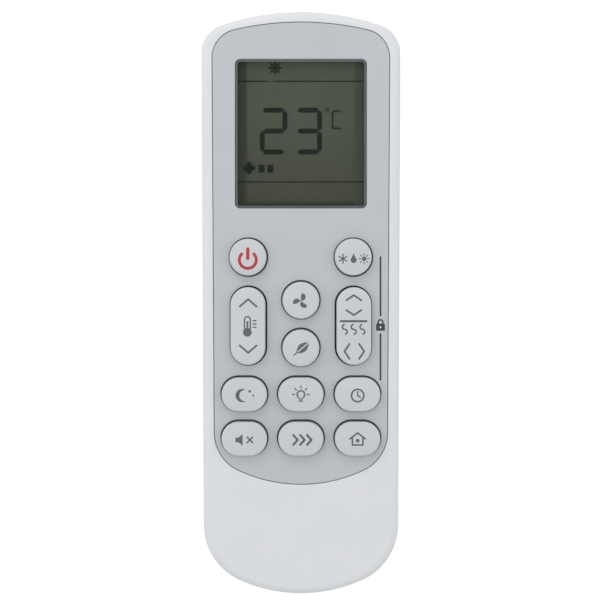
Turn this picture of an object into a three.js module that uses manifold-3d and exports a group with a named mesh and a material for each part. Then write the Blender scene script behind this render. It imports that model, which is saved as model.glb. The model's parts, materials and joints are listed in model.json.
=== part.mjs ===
// Remote control handset of a room air conditioner, as an assembly of separate pieces.
// Millimetres. The handset lies on its back: +Z points out of the face, +Y towards the display end,
// +X to the right of someone who reads the display. The origin is under the middle of the case.
import * as THREE from 'three';
import { mergeVertices } from 'three/addons/utils/BufferGeometryUtils.js';
import Module from 'manifold-3d';

const wasm = await Module();
wasm.setup();

// ---------------------------------------------------------------- driving dimensions

// Case outline, seen from the front: shallow arcs across both ends, tangent corner arcs and
// nearly straight sides that close up a little towards the foot.
const CASE_LENGTH = 154;
const CASE_TOP_WIDTH = 53;
const CASE_FOOT_WIDTH = 51.8;
const CASE_TOP_ARC = 66;
const CASE_TOP_CORNER = 8;
const CASE_FOOT_ARC = 39.5;
const CASE_FOOT_CORNER = 16.3;

// Case shells
const CASE_WALL = 1.8;
const BACK_WALL = 1.6;
const PARTING_HEIGHT = 10;
const PARTING_SEAM = 0.3;
const DRAFT = 0.2;
const FACE_EDGE_RADIUS = 2;
const BACK_EDGE_RADIUS = 4.5;
const LIP_HEIGHT = 1.2;
const LIP_THICKNESS = 0.75;
const LIP_GAP = 0.15;
const FRONT_CAVITY_TAPER = 1;
const BACK_CAVITY_TAPER = 2.2;

// Clearances
const SEAT_GAP = 0.15;
const FIT_GAP = 0.2;
const CELL_GAP = 0.3;
const OVERCUT = 1; // how far a cutting shape reaches past the faces that it opens

// Face panel, inset in the front case
const PANEL_LENGTH = 121.7;
const PANEL_MARGIN = 3.1;
const PANEL_TOP_ARC = 76;
const PANEL_TOP_CORNER = 7.5;
const PANEL_FOOT_ARC = 38.5;
const PANEL_FOOT_CORNER = 11;
const PANEL_THICKNESS = 1;
const PANEL_RECESS = 0.1;
const PANEL_SEAM = 0.18;
const PANEL_EDGE = 0.15;
const FLOOR_THICKNESS = 1.1;

// Display window and the clear lens in it
const WINDOW_WIDTH = 34.7;
const WINDOW_HEIGHT = 39.3;
const WINDOW_CORNER = 1.4;
const WINDOW_DROP = 29.4;
const LENS_FLANGE = 1.6;
const LENS_FLANGE_THICKNESS = 0.9;
const LENS_BEVEL = 0.5;

// Display glass, its holder and the connector strip
const GLASS_THICKNESS = 0.8;
const GLASS_SEAL = 0.1;
const GLASS_MARGIN = 1.3;
const GLASS_LEDGE = 2.4;
const HOLDER_WALL = 1;
const HOLDER_CORNER = 1.2;
const HOLDER_LEDGE = 2;
const STRIP_WIDTH = 1.2;
const STRIP_LENGTH = 30;

// Keys. Drops are measured from the panel's upper edge to the middle of the key.
const KEY_GAP = 0.26;
const KEY_PROUD = 2.5;
const KEY_TRAVEL = 0.8;
const KEY_FLANGE = 0.45;
const KEY_FLANGE_THICKNESS = 0.75;
const KEY_DRAFT = 0.08;
const KEY_EDGE_RADIUS = 0.5;
const KEY_CROWN = 0.3;
const KEY_CROWN_INSET = 2.4;
const KEY_EDGE_SWEEP = 76; // degrees of the quarter-round that the crown leaves
const ROUND_HOLE = 10.36;
const ROCKER_HOLE_WIDTH = 9.78;
const ROCKER_HOLE_LENGTH = 21.05;
const OVAL_HOLE_WIDTH = 12.6;
const OVAL_HOLE_HEIGHT = 9.56;
const OUTER_COLUMN = 13.8;
const LOWER_COLUMN = 14.85;
const POWER_DROP = 61.9;
const FAN_DROP = 73.1;
const ROCKER_DROP = 79.9;
const ECO_DROP = 85.6;
const THIRD_ROW_DROP = 97.8;
const FOURTH_ROW_DROP = 109.4;
const ROCKER_PIN_RADIUS = 0.4;

// Keypad mat and circuit board
const WELL_FLOOR = 0.45;
const MAT_EDGE = 4.4;
const MAT_TOP_DROP = 55.5;
const MAT_FOOT_DROP = 117.4;
const BOARD_THICKNESS = 1;
const BOARD_GAP = 0.45;
const BOARD_FOOT_DROP = 121.5;

// Battery cells and bay
const CELL_DIAMETER = 10.5;
const CELL_LENGTH = 44.5;
const CELL_NUB_DIAMETER = 3.8;
const CELL_NUB_HEIGHT = 0.9;
const CELL_RIM = 0.8;
const CELL_RIM_HEIGHT = 0.2;
const CELL_SPACING = 11.3;
const BAY_FOOT_MARGIN = 8;
const BAY_WALL = 1.2;
const BAY_ROOF = 0.9;
const SPRING_HEIGHT = 3.9;
const SPRING_WIRE = 0.5;
const SPRING_TURNS = 3;
const SPRING_BASE_RADIUS = 3.7;
const SPRING_TIP_RADIUS = 2.4;
const CONTACT_THICKNESS = 0.4;
const CONTACT_SIZE = 7.6;
const LEG_WIDTH = 1.6;

// Battery door
const DOOR_THICKNESS = 1.6;
const DOOR_WIDTH = 38;
const DOOR_TOP_MARGIN = 5;
const TONGUE_THICKNESS = 0.7;
const TONGUE_REACH = 1.3;
const DECK_THICKNESS = 1.2;
const DECK_MARGIN = 1;
const GRIP_RIDGES = 5;
const GRIP_PITCH = 2;
const GRIP_LENGTH = 13;
const GRIP_DEPTH = 0.4;
const GRIP_DROP = 7;
const ARROW_HALF_WIDTH = 3;
const ARROW_LENGTH = 3;

// Screws and the posts that take them
const CASE_SCREW_MARGIN = 5.3; // from the side of the case to the middle of the screw
const SCREW_DROP = 56.4;
const TOWER_RADIUS = 2.8;
const TOWER_FLOOR = 6.4;
const CASE_SCREW_HEAD = 4.2;
const CASE_SCREW_SHANK = 2.2;
const CASE_SCREW_LENGTH = 9;
const BOARD_SCREW_HEAD = 3.6;
const BOARD_SCREW_SHANK = 1.5;
const BOARD_SCREW_LENGTH = 3;
const UPPER_BOARD_SCREW_X = 7.4;
const LOWER_BOARD_SCREW_MARGIN = 4.7;
const LOWER_BOARD_SCREW_DROP = 88;
const POST_RADIUS = 1.8;
const POST_ROOT = 0.5; // how far a post runs into the wall that it stands on
const PILOT_STOP = 0.3;
const SCREW_HEAD_RATIO = 0.325; // head height over head diameter
const SCREW_CROSS_WIDTH = 0.5;
const SCREW_SIDES = 10;

// Parts on the board. Drops are measured from the row of screws towards the foot.
const LEAD_WIDTH = 0.5;
const LEAD_PITCH = 1.27;
const CHIP_SIZE = 10;
const CHIP_HEIGHT = 1.6;
const CHIP_CORNER = 0.4;
const CHIP_TAPER = 0.2;
const CHIP_LEADS = 7;
const CHIP_LEAD_WIDTH = 0.4;
const CHIP_LEAD_THICKNESS = 0.2;
const CHIP_LEAD_REACH = 1;
const CHIP_DROP = 12;
const CRYSTAL_LENGTH = 10.4;
const CRYSTAL_WIDTH = 3.6;
const CRYSTAL_HEIGHT = 3.4;
const CRYSTAL_X = -14;
const CRYSTAL_DROP = 9;
const CAPACITOR_DIAMETER = 5;
const CAPACITOR_LENGTH = 11;
const CAPACITOR_GROOVE = 0.3;
const CAPACITOR_GROOVE_START = 0.9;
const CAPACITOR_GROOVE_WIDTH = 0.8;
const CAPACITOR_X = 13;
const CAPACITOR_RISE = 5;
const TRANSISTOR_DIAMETER = 4.6;
const TRANSISTOR_HEIGHT = 4.5;
const TRANSISTOR_STAND_OFF = 1;
const TRANSISTOR_X = 11;
const TRANSISTOR_DROP_FROM_TOP = 12;
const LED_DIAMETER = 5;
const LED_LENGTH = 8.6;
const LED_FLANGE = 0.4;
const LED_FLANGE_LENGTH = 1;
const LED_RECESS = 0.5;
const LED_LEG_REACH = 2;

// ---------------------------------------------------------------- heights, from the back up

const cellHeight = DOOR_THICKNESS + CELL_GAP + CELL_DIAMETER / 2;
const roofTop = cellHeight + CELL_DIAMETER / 2 + CELL_GAP + BAY_ROOF;
const boardBottom = roofTop + SEAT_GAP;
const boardTop = boardBottom + BOARD_THICKNESS;
const matBottom = boardTop + SEAT_GAP;
const matTop = matBottom + WELL_FLOOR + KEY_TRAVEL + KEY_FLANGE_THICKNESS + FIT_GAP;
const floorBottom = matTop + SEAT_GAP;
const floorTop = floorBottom + FLOOR_THICKNESS;
const panelBottom = floorTop + SEAT_GAP;
const panelTop = panelBottom + PANEL_THICKNESS;
const faceTop = panelTop + PANEL_RECESS;
const keyTop = panelTop + KEY_PROUD;
const upperParting = PARTING_HEIGHT + PARTING_SEAM / 2;
const lowerParting = PARTING_HEIGHT - PARTING_SEAM / 2;
const doorDeckBottom = DOOR_THICKNESS + SEAT_GAP;
const tongueBottom = DOOR_THICKNESS - TONGUE_THICKNESS;
const flangeTop = floorBottom - FIT_GAP;
const flangeBottom = flangeTop - KEY_FLANGE_THICKNESS;
const rockerPivot = flangeTop - ROCKER_PIN_RADIUS;
const pinNotch = rockerPivot - ROCKER_PIN_RADIUS - SEAT_GAP;
const frontGlassTop = floorTop - LENS_FLANGE_THICKNESS - FIT_GAP;
const frontGlassBottom = frontGlassTop - GLASS_THICKNESS;
const rearGlassTop = frontGlassBottom - GLASS_SEAL;
const rearGlassBottom = rearGlassTop - GLASS_THICKNESS;
const ledHeight = PARTING_HEIGHT;

// ---------------------------------------------------------------- places in the outline

const caseTop = CASE_LENGTH / 2;
const caseFoot = -CASE_LENGTH / 2;
const panelEdge = caseTop - PANEL_MARGIN;
const panelFoot = panelEdge - PANEL_LENGTH;
const windowY = panelEdge - WINDOW_DROP;
const screwY = panelEdge - SCREW_DROP;
const lowerScrewY = panelEdge - LOWER_BOARD_SCREW_DROP;
const caseScrewX = caseHalfWidth(screwY) - CASE_SCREW_MARGIN;
const lowerScrewX = caseHalfWidth(lowerScrewY) - LOWER_BOARD_SCREW_MARGIN;
const bayFoot = caseFoot + BAY_FOOT_MARGIN;
const bayLength = CELL_LENGTH + SPRING_HEIGHT + 2 * CONTACT_THICKNESS + 4 * CELL_GAP;
const bayTop = bayFoot + bayLength;
const doorTop = bayTop + DOOR_TOP_MARGIN;
const bayHalfWidth = CELL_SPACING / 2 + CELL_DIAMETER / 2 + CELL_GAP;
const upperContactY = bayTop - CELL_GAP - CONTACT_THICKNESS;
const lowerContactY = bayFoot + CELL_GAP;
const LEG_PLACES = [-CELL_SPACING / 2, CELL_SPACING / 2];
const glassWidth = WINDOW_WIDTH + 2 * GLASS_MARGIN;
const rearHeight = WINDOW_HEIGHT + 2 * GLASS_MARGIN;
const stripY = windowY + rearHeight / 2 + GLASS_LEDGE / 2;
const CAPACITOR_PLACE = [
  CAPACITOR_X, screwY + CAPACITOR_RISE, boardBottom - SEAT_GAP - CAPACITOR_DIAMETER / 2,
];

// Half the width of the case at a height y between its ends.
function caseHalfWidth(y) {
  const share = (y - caseFoot) / CASE_LENGTH;
  return (CASE_FOOT_WIDTH + (CASE_TOP_WIDTH - CASE_FOOT_WIDTH) * share) / 2;
}

const CASE_OUTLINE = {
  topHalf: CASE_TOP_WIDTH / 2,
  footHalf: CASE_FOOT_WIDTH / 2,
  top: caseTop,
  foot: caseFoot,
  topArc: CASE_TOP_ARC,
  topCorner: CASE_TOP_CORNER,
  footArc: CASE_FOOT_ARC,
  footCorner: CASE_FOOT_CORNER,
};
const PANEL_OUTLINE = {
  topHalf: CASE_TOP_WIDTH / 2 - PANEL_MARGIN,
  footHalf: CASE_FOOT_WIDTH / 2 - PANEL_MARGIN,
  top: panelEdge,
  foot: panelFoot,
  topArc: PANEL_TOP_ARC,
  topCorner: PANEL_TOP_CORNER,
  footArc: PANEL_FOOT_ARC,
  footCorner: PANEL_FOOT_CORNER,
};

// Every key: its name, its place and the size of its hole in the panel.
const ROUND = { width: ROUND_HOLE, height: ROUND_HOLE };
const ROCKER = { width: ROCKER_HOLE_WIDTH, height: ROCKER_HOLE_LENGTH, rocks: true };
const OVAL = { width: OVAL_HOLE_WIDTH, height: OVAL_HOLE_HEIGHT };
const KEYS = [
  { name: 'key_power', x: -OUTER_COLUMN, drop: POWER_DROP, hole: ROUND },
  { name: 'key_mode', x: OUTER_COLUMN, drop: POWER_DROP, hole: ROUND },
  { name: 'key_fan', x: 0, drop: FAN_DROP, hole: ROUND },
  { name: 'key_eco', x: 0, drop: ECO_DROP, hole: ROUND },
  { name: 'key_temp', x: -OUTER_COLUMN, drop: ROCKER_DROP, hole: ROCKER },
  { name: 'key_swing', x: OUTER_COLUMN, drop: ROCKER_DROP, hole: ROCKER },
  { name: 'key_sleep', x: -LOWER_COLUMN, drop: THIRD_ROW_DROP, hole: OVAL },
  { name: 'key_display', x: 0, drop: THIRD_ROW_DROP, hole: OVAL },
  { name: 'key_timer', x: LOWER_COLUMN, drop: THIRD_ROW_DROP, hole: OVAL },
  { name: 'key_mute', x: -LOWER_COLUMN, drop: FOURTH_ROW_DROP, hole: OVAL },
  { name: 'key_turbo', x: 0, drop: FOURTH_ROW_DROP, hole: OVAL },
  { name: 'key_room_sensor', x: LOWER_COLUMN, drop: FOURTH_ROW_DROP, hole: OVAL },
];

// ---------------------------------------------------------------- outlines

// Points on an arc, both ends included.
function arc(cx, cy, radius, from, to, steps) {
  const points = [];
  for (let i = 0; i <= steps; i++) {
    const angle = from + ((to - from) * i) / steps;
    points.push(new THREE.Vector2(cx + radius * Math.cos(angle), cy + radius * Math.sin(angle)));
  }
  return points;
}

// The handset's outline moved in by inset: two end arcs and four corner arcs, all tangent.
function handsetOutline(o, inset = 0) {
  const topX = o.topHalf - o.topCorner;
  const footX = o.footHalf - o.footCorner;
  const topArcY = o.top - o.topArc;
  const footArcY = o.foot + o.footArc;
  const topY = topArcY + Math.sqrt((o.topArc - o.topCorner) ** 2 - topX ** 2);
  const footY = footArcY - Math.sqrt((o.footArc - o.footCorner) ** 2 - footX ** 2);
  const apart = Math.hypot(topX - footX, topY - footY);
  const lean = Math.atan2(topY - footY, topX - footX);
  const side = lean - Math.acos((o.footCorner - o.topCorner) / apart);
  const topTangent = Math.atan2(topY - topArcY, topX);
  const footTangent = Math.atan2(footY - footArcY, footX);
  const corner = 6;
  const end = 8;
  return [
    ...arc(topX, topY, o.topCorner - inset, side, topTangent, corner),
    ...arc(0, topArcY, o.topArc - inset, topTangent, Math.PI - topTangent, end).slice(1),
    ...arc(-topX, topY, o.topCorner - inset, Math.PI - topTangent, Math.PI - side, corner).slice(1),
    ...arc(-footX, footY, o.footCorner - inset, Math.PI - side, Math.PI - footTangent, corner),
    ...arc(0, footArcY, o.footArc - inset, Math.PI - footTangent, 2 * Math.PI + footTangent, end)
      .slice(1),
    ...arc(footX, footY, o.footCorner - inset, footTangent, side, corner).slice(1),
  ];
}

// A long hole with round ends, or a circle where width and height are the same.
function stadium(width, height, inset = 0, steps = 10) {
  const radius = Math.min(width, height) / 2;
  const dx = width / 2 - radius;
  const dy = height / 2 - radius;
  const r = radius - inset;
  if (dx === 0 && dy === 0) return arc(0, 0, r, 0, 2 * Math.PI, 2 * steps).slice(1);
  if (dx > 0) {
    return [
      ...arc(dx, 0, r, -Math.PI / 2, Math.PI / 2, steps),
      ...arc(-dx, 0, r, Math.PI / 2, (3 * Math.PI) / 2, steps),
    ];
  }
  return [
    ...arc(0, dy, r, 0, Math.PI, steps),
    ...arc(0, -dy, r, Math.PI, 2 * Math.PI, steps),
  ];
}

// A rectangle with round corners, moved in by inset.
function roundedRectangle(width, height, radius, inset = 0, steps = 4) {
  const x = width / 2 - radius;
  const y = height / 2 - radius;
  const r = radius - inset;
  const quarter = Math.PI / 2;
  return [
    ...arc(x, y, r, 0, quarter, steps),
    ...arc(-x, y, r, quarter, 2 * quarter, steps),
    ...arc(-x, -y, r, 2 * quarter, 3 * quarter, steps),
    ...arc(x, -y, r, 3 * quarter, 4 * quarter, steps),
  ];
}

// ---------------------------------------------------------------- solids

// A skin drawn over a stack of outlines with the same number of points, closed at both ends.
function loft(levels) {
  const count = levels[0].outline.length;
  const positions = [];
  for (const { outline, z } of levels) {
    for (const p of outline) positions.push(p.x, p.y, z);
  }
  const index = [];
  for (let level = 0; level + 1 < levels.length; level++) {
    for (let i = 0; i < count; i++) {
      const a = level * count + i;
      const b = level * count + ((i + 1) % count);
      index.push(a, b, b + count, a, b + count, a + count);
    }
  }
  const top = (levels.length - 1) * count;
  for (const [a, b, c] of THREE.ShapeUtils.triangulateShape(levels[0].outline, [])) {
    index.push(a, c, b);
  }
  for (const [a, b, c] of THREE.ShapeUtils.triangulateShape(levels.at(-1).outline, [])) {
    index.push(top + a, top + b, top + c);
  }
  const geometry = new THREE.BufferGeometry();
  geometry.setAttribute('position', new THREE.Float32BufferAttribute(positions, 3));
  geometry.setIndex(index);
  return geometry;
}

// A closed geometry as a solid that can be joined and cut.
function solid(geometry) {
  const bare = geometry.clone();
  bare.deleteAttribute('normal');
  bare.deleteAttribute('uv');
  const merged = mergeVertices(bare, 1e-4);
  return new wasm.Manifold(new wasm.Mesh({
    numProp: 3,
    vertProperties: new Float32Array(merged.attributes.position.array),
    triVerts: new Uint32Array(merged.index.array),
  }));
}

// A solid back as a geometry.
function geometryOf(manifold) {
  const made = manifold.getMesh();
  const geometry = new THREE.BufferGeometry();
  geometry.setAttribute('position', new THREE.Float32BufferAttribute(made.vertProperties, 3));
  geometry.setIndex(new THREE.Uint32BufferAttribute(made.triVerts, 1));
  return geometry;
}

// An outline pulled straight up from z0 to z1.
function prism(outline, z0, z1, x = 0, y = 0) {
  const geometry = new THREE.ExtrudeGeometry(new THREE.Shape(outline), {
    depth: z1 - z0,
    bevelEnabled: false,
    curveSegments: 1,
  });
  geometry.translate(x, y, z0);
  return solid(geometry);
}

// A block given by its lowest and highest corners.
function block(x0, x1, y0, y1, z0, z1) {
  const geometry = new THREE.BoxGeometry(x1 - x0, y1 - y0, z1 - z0);
  geometry.translate((x0 + x1) / 2, (y0 + y1) / 2, (z0 + z1) / 2);
  return solid(geometry);
}

// An upright round bar.
function bar(radius, z0, z1, x, y, sides = 14) {
  const geometry = new THREE.CylinderGeometry(radius, radius, z1 - z0, sides);
  geometry.rotateX(Math.PI / 2);
  geometry.translate(x, y, (z0 + z1) / 2);
  return solid(geometry);
}

// A round bar that lies along Y.
function lyingBar(radius, y0, y1, x, z, sides = 20) {
  const geometry = new THREE.CylinderGeometry(radius, radius, y1 - y0, sides);
  geometry.translate(x, (y0 + y1) / 2, z);
  return solid(geometry);
}

// A profile of [radius, height] pairs turned about Z.
function turned(profile, sides) {
  const points = profile.map(([radius, height]) => new THREE.Vector2(radius, height));
  const geometry = new THREE.LatheGeometry(points, sides);
  geometry.rotateX(Math.PI / 2);
  return geometry;
}

// ---------------------------------------------------------------- materials

function material(color, roughness, metalness = 0) {
  return new THREE.MeshStandardMaterial({ color, roughness, metalness });
}

const CASE_PLASTIC = material(0xd9dee0, 0.45);
const PANEL_PLASTIC = material(0xbfc4c8, 0.4, 0.1);
const KEY_PLASTIC = material(0xc6cacd, 0.55);
const CLEAR_PLASTIC = material(0xdfe4e6, 0.05);
const DISPLAY_GLASS = material(0x51564a, 0.2);
const SILICONE = material(0x8f9496, 0.8);
const BOARD_LAMINATE = material(0x8a6a3a, 0.6);
const BLACK_RESIN = material(0x1d1e20, 0.5);
const TINNED_STEEL = material(0xb9bcc0, 0.3, 1);
const CELL_SLEEVE = material(0x3c5a78, 0.35);
const LED_RESIN = material(0xcfd6e4, 0.1);
const HOLDER_PLASTIC = material(0xc9ccc8, 0.6);

const assembly = new THREE.Group();

function add(name, shape, finish, place = [0, 0, 0]) {
  const geometry = shape.isBufferGeometry ? shape : geometryOf(shape);
  const mesh = new THREE.Mesh(geometry, finish.clone());
  mesh.name = name;
  mesh.position.set(...place);
  assembly.add(mesh);
  return mesh;
}

// ---------------------------------------------------------------- case shells

// Levels of a shell's outside from the parting line to its flat end, with a quarter-round edge.
function roundedShell(parting, end, radius, steps) {
  const away = Math.sign(end - parting);
  const levels = [{ outline: handsetOutline(CASE_OUTLINE), z: parting }];
  for (let i = 0; i <= steps; i++) {
    const turn = (i / steps) * (Math.PI / 2);
    const inset = DRAFT + radius * (1 - Math.cos(turn));
    const z = end - away * radius * (1 - Math.sin(turn));
    levels.push({ outline: handsetOutline(CASE_OUTLINE, inset), z });
  }
  return away > 0 ? levels : levels.reverse();
}

const outerFront = () => solid(loft(roundedShell(upperParting, faceTop, FACE_EDGE_RADIUS, 4)));
const outerBack = () => solid(loft(roundedShell(lowerParting, 0, BACK_EDGE_RADIUS, 5)));

function caseSlice(inset, z0, z1) {
  const outline = handsetOutline(CASE_OUTLINE, inset);
  return solid(loft([{ outline, z: z0 }, { outline, z: z1 }]));
}

function holeOutline(hole, inset) {
  return stadium(hole.width, hole.height, inset);
}

// The screw places, each given once and used by post, hole, board and screw.
const CASE_SCREWS = [
  { name: 'case_screw_left', x: -caseScrewX, y: screwY },
  { name: 'case_screw_right', x: caseScrewX, y: screwY },
];
const BOARD_SCREWS = [
  { name: 'board_screw_upper_left', x: -UPPER_BOARD_SCREW_X, y: screwY },
  { name: 'board_screw_upper_right', x: UPPER_BOARD_SCREW_X, y: screwY },
  { name: 'board_screw_lower_left', x: -lowerScrewX, y: lowerScrewY },
  { name: 'board_screw_lower_right', x: lowerScrewX, y: lowerScrewY },
];

const ledPort = () => lyingBar(
  LED_DIAMETER / 2 + FIT_GAP, caseTop - 2 * CASE_WALL, caseTop + OVERCUT, 0, ledHeight);

// The upper shell: rounded outside, hollow, with the panel's recess, the key holes, the window and
// the posts that the board and the back are screwed to.
function frontCase() {
  const wall = CASE_WALL + DRAFT;
  const cavity = solid(loft([
    { outline: handsetOutline(CASE_OUTLINE, CASE_WALL), z: upperParting - OVERCUT },
    { outline: handsetOutline(CASE_OUTLINE, wall), z: floorBottom - FRONT_CAVITY_TAPER },
    { outline: handsetOutline(CASE_OUTLINE, wall + FRONT_CAVITY_TAPER), z: floorBottom },
  ]));
  const rabbetInset = CASE_WALL - LIP_THICKNESS - LIP_GAP;
  const rabbetTop = upperParting + LIP_HEIGHT + LIP_GAP;
  const rabbet = caseSlice(rabbetInset, upperParting - OVERCUT, rabbetTop);
  const recess = prism(handsetOutline(PANEL_OUTLINE, -PANEL_SEAM / 2), floorTop, faceTop + OVERCUT);
  const lensHole = prism(
    roundedRectangle(
      WINDOW_WIDTH + 2 * (LENS_FLANGE + FIT_GAP),
      WINDOW_HEIGHT + 2 * (LENS_FLANGE + FIT_GAP),
      WINDOW_CORNER + LENS_FLANGE),
    floorBottom - OVERCUT, floorTop + OVERCUT, 0, windowY);
  let shell = outerFront().subtract(cavity).subtract(rabbet).subtract(recess).subtract(lensHole);
  for (const key of KEYS) {
    const outline = holeOutline(key.hole, 0);
    shell = shell.subtract(
      prism(outline, floorBottom - OVERCUT, floorTop + OVERCUT, key.x, panelEdge - key.drop));
  }
  for (const { x, y } of CASE_SCREWS) {
    const post = bar(TOWER_RADIUS, PARTING_HEIGHT + SEAT_GAP, floorBottom + POST_ROOT, x, y);
    const pilot = bar(
      CASE_SCREW_SHANK / 2 + SEAT_GAP, PARTING_HEIGHT - OVERCUT, floorBottom - PILOT_STOP,
      x, y, SCREW_SIDES);
    shell = shell.add(post).subtract(pilot);
  }
  for (const { x, y } of BOARD_SCREWS) {
    const post = bar(POST_RADIUS, boardTop + SEAT_GAP, floorBottom + POST_ROOT, x, y);
    const pilot = bar(
      BOARD_SCREW_SHANK / 2 + SEAT_GAP, boardTop - OVERCUT, floorBottom - PILOT_STOP,
      x, y, SCREW_SIDES);
    shell = shell.add(post).subtract(pilot);
  }
  return shell.subtract(ledPort());
}

// The lower shell: battery bay with a trough for each cell, deck and grooves for the sliding door,
// screw towers, and the lip that centres the front case.
function backCase() {
  const wall = CASE_WALL + DRAFT;
  const cavity = solid(loft([
    { outline: handsetOutline(CASE_OUTLINE, wall + BACK_CAVITY_TAPER), z: BACK_WALL },
    { outline: handsetOutline(CASE_OUTLINE, wall), z: BACK_EDGE_RADIUS },
    { outline: handsetOutline(CASE_OUTLINE, CASE_WALL), z: PARTING_HEIGHT + OVERCUT },
  ]));
  const lipTop = lowerParting + LIP_HEIGHT;
  const lipOutside = caseSlice(CASE_WALL - LIP_THICKNESS, lowerParting - OVERCUT, lipTop);
  const lipInside = caseSlice(CASE_WALL, lowerParting - 2 * OVERCUT, lipTop + OVERCUT);
  let shell = outerBack().subtract(cavity).add(lipOutside.subtract(lipInside));

  const deckTop = doorDeckBottom + DECK_THICKNESS;
  const deckMargin = TONGUE_REACH + DECK_MARGIN;
  const deckHalf = DOOR_WIDTH / 2 + deckMargin;
  const deckReach = block(-deckHalf, deckHalf, caseFoot, doorTop + deckMargin, 0, deckTop);
  shell = shell.add(outerBack().intersect(deckReach));

  const bayBlock = block(
    -bayHalfWidth - BAY_WALL, bayHalfWidth + BAY_WALL,
    bayFoot - BAY_WALL, bayTop + BAY_WALL, doorDeckBottom, roofTop);
  const mouth = block(-bayHalfWidth, bayHalfWidth, bayFoot, bayTop, 0, cellHeight);
  const ribBottom = cellHeight + CONTACT_SIZE / 2 + FIT_GAP;
  const ribRelief = block(-CELL_SPACING / 4, CELL_SPACING / 4, bayFoot, bayTop, 0, ribBottom);
  shell = shell.add(bayBlock).subtract(mouth).subtract(ribRelief);
  for (const side of [-1, 1]) {
    const x = (side * CELL_SPACING) / 2;
    const trough = lyingBar(CELL_DIAMETER / 2 + CELL_GAP, bayFoot, bayTop, x, cellHeight);
    shell = shell.subtract(trough);
  }

  for (const x of LEG_PLACES) {
    const half = LEG_WIDTH / 2 + FIT_GAP;
    shell = shell.subtract(block(
      x - half, x + half, upperContactY - FIT_GAP, upperContactY + CONTACT_THICKNESS + FIT_GAP,
      cellHeight, roofTop + OVERCUT));
  }
  for (const { x, y } of CASE_SCREWS) {
    const tower = bar(TOWER_RADIUS, BACK_WALL / 2, PARTING_HEIGHT - SEAT_GAP, x, y);
    const headHole = bar(CASE_SCREW_HEAD / 2 + FIT_GAP, -OVERCUT, TOWER_FLOOR, x, y);
    const shankHole = bar(
      CASE_SCREW_SHANK / 2 + SEAT_GAP, 0, PARTING_HEIGHT + OVERCUT, x, y, SCREW_SIDES);
    shell = shell.add(tower).subtract(headHole).subtract(shankHole);
  }
  return shell.subtract(doorOpening()).subtract(ledPort());
}

// ---------------------------------------------------------------- battery door

// The space that the door slides in: its visible plate, and the wider groove for its tongues.
function doorOpening() {
  const half = DOOR_WIDTH / 2 + FIT_GAP;
  const grooveHalf = half + TONGUE_REACH;
  const beyond = caseFoot - OVERCUT;
  const plate = block(-half, half, beyond, doorTop + FIT_GAP, -OVERCUT, doorDeckBottom);
  const groove = block(
    -grooveHalf, grooveHalf, beyond, doorTop + FIT_GAP + TONGUE_REACH,
    tongueBottom - SEAT_GAP, doorDeckBottom);
  return plate.add(groove);
}

// The door: a plate that ends in the rounded foot of the case, stepped tongues on three sides, and
// a grip of ridges with an arrow that points the way it slides.
function batteryDoor() {
  const half = DOOR_WIDTH / 2;
  const beyond = caseFoot - OVERCUT;
  const plate = block(-half, half, beyond, doorTop, 0, DOOR_THICKNESS);
  const tongue = block(
    -half - TONGUE_REACH, half + TONGUE_REACH, beyond, doorTop + TONGUE_REACH,
    tongueBottom, DOOR_THICKNESS);
  let door = outerBack().intersect(plate.add(tongue));
  const gripTop = doorTop - GRIP_DROP;
  const ridge = stadium(GRIP_LENGTH, GRIP_PITCH / 2, 0, 3);
  for (let i = 0; i < GRIP_RIDGES; i++) {
    door = door.subtract(prism(ridge, -OVERCUT, GRIP_DEPTH, 0, gripTop - i * GRIP_PITCH));
  }
  const arrow = [
    new THREE.Vector2(-ARROW_HALF_WIDTH, 0),
    new THREE.Vector2(0, -ARROW_LENGTH),
    new THREE.Vector2(ARROW_HALF_WIDTH, 0),
  ];
  return door.subtract(
    prism(arrow, -OVERCUT, GRIP_DEPTH, 0, gripTop - GRIP_RIDGES * GRIP_PITCH));
}

// ---------------------------------------------------------------- face panel and window

function facePanel() {
  const seam = PANEL_SEAM / 2;
  let panel = solid(loft([
    { outline: handsetOutline(PANEL_OUTLINE, seam), z: panelBottom },
    { outline: handsetOutline(PANEL_OUTLINE, seam), z: panelTop - PANEL_EDGE },
    { outline: handsetOutline(PANEL_OUTLINE, seam + PANEL_EDGE), z: panelTop },
  ]));
  const opening = roundedRectangle(WINDOW_WIDTH, WINDOW_HEIGHT, WINDOW_CORNER);
  panel = panel.subtract(
    prism(opening, panelBottom - OVERCUT, panelTop + OVERCUT, 0, windowY));
  for (const key of KEYS) {
    const outline = holeOutline(key.hole, 0);
    panel = panel.subtract(
      prism(outline, panelBottom - OVERCUT, panelTop + OVERCUT, key.x, panelEdge - key.drop));
  }
  return panel;
}

// Top-hat window: the flange sits in the floor of the front case, the raised middle fills the
// panel's opening and ends in a bevel.
function displayLens() {
  const outline = (inset) => roundedRectangle(WINDOW_WIDTH, WINDOW_HEIGHT, WINDOW_CORNER, inset);
  const brim = roundedRectangle(
    WINDOW_WIDTH + 2 * LENS_FLANGE, WINDOW_HEIGHT + 2 * LENS_FLANGE, WINDOW_CORNER + LENS_FLANGE);
  const lensTop = panelTop - SEAT_GAP;
  return loft([
    { outline: brim, z: floorTop - LENS_FLANGE_THICKNESS },
    { outline: brim, z: floorTop },
    { outline: outline(SEAT_GAP), z: floorTop },
    { outline: outline(SEAT_GAP), z: lensTop - LENS_BEVEL },
    { outline: outline(SEAT_GAP + LENS_BEVEL), z: lensTop },
  ]);
}

// ---------------------------------------------------------------- display

function lcdFrontGlass() {
  return block(
    -glassWidth / 2, glassWidth / 2,
    windowY - rearHeight / 2, windowY + rearHeight / 2 + GLASS_LEDGE,
    frontGlassBottom, frontGlassTop);
}

function lcdRearGlass() {
  return block(
    -glassWidth / 2, glassWidth / 2,
    windowY - rearHeight / 2, windowY + rearHeight / 2,
    rearGlassBottom, rearGlassTop);
}

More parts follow.
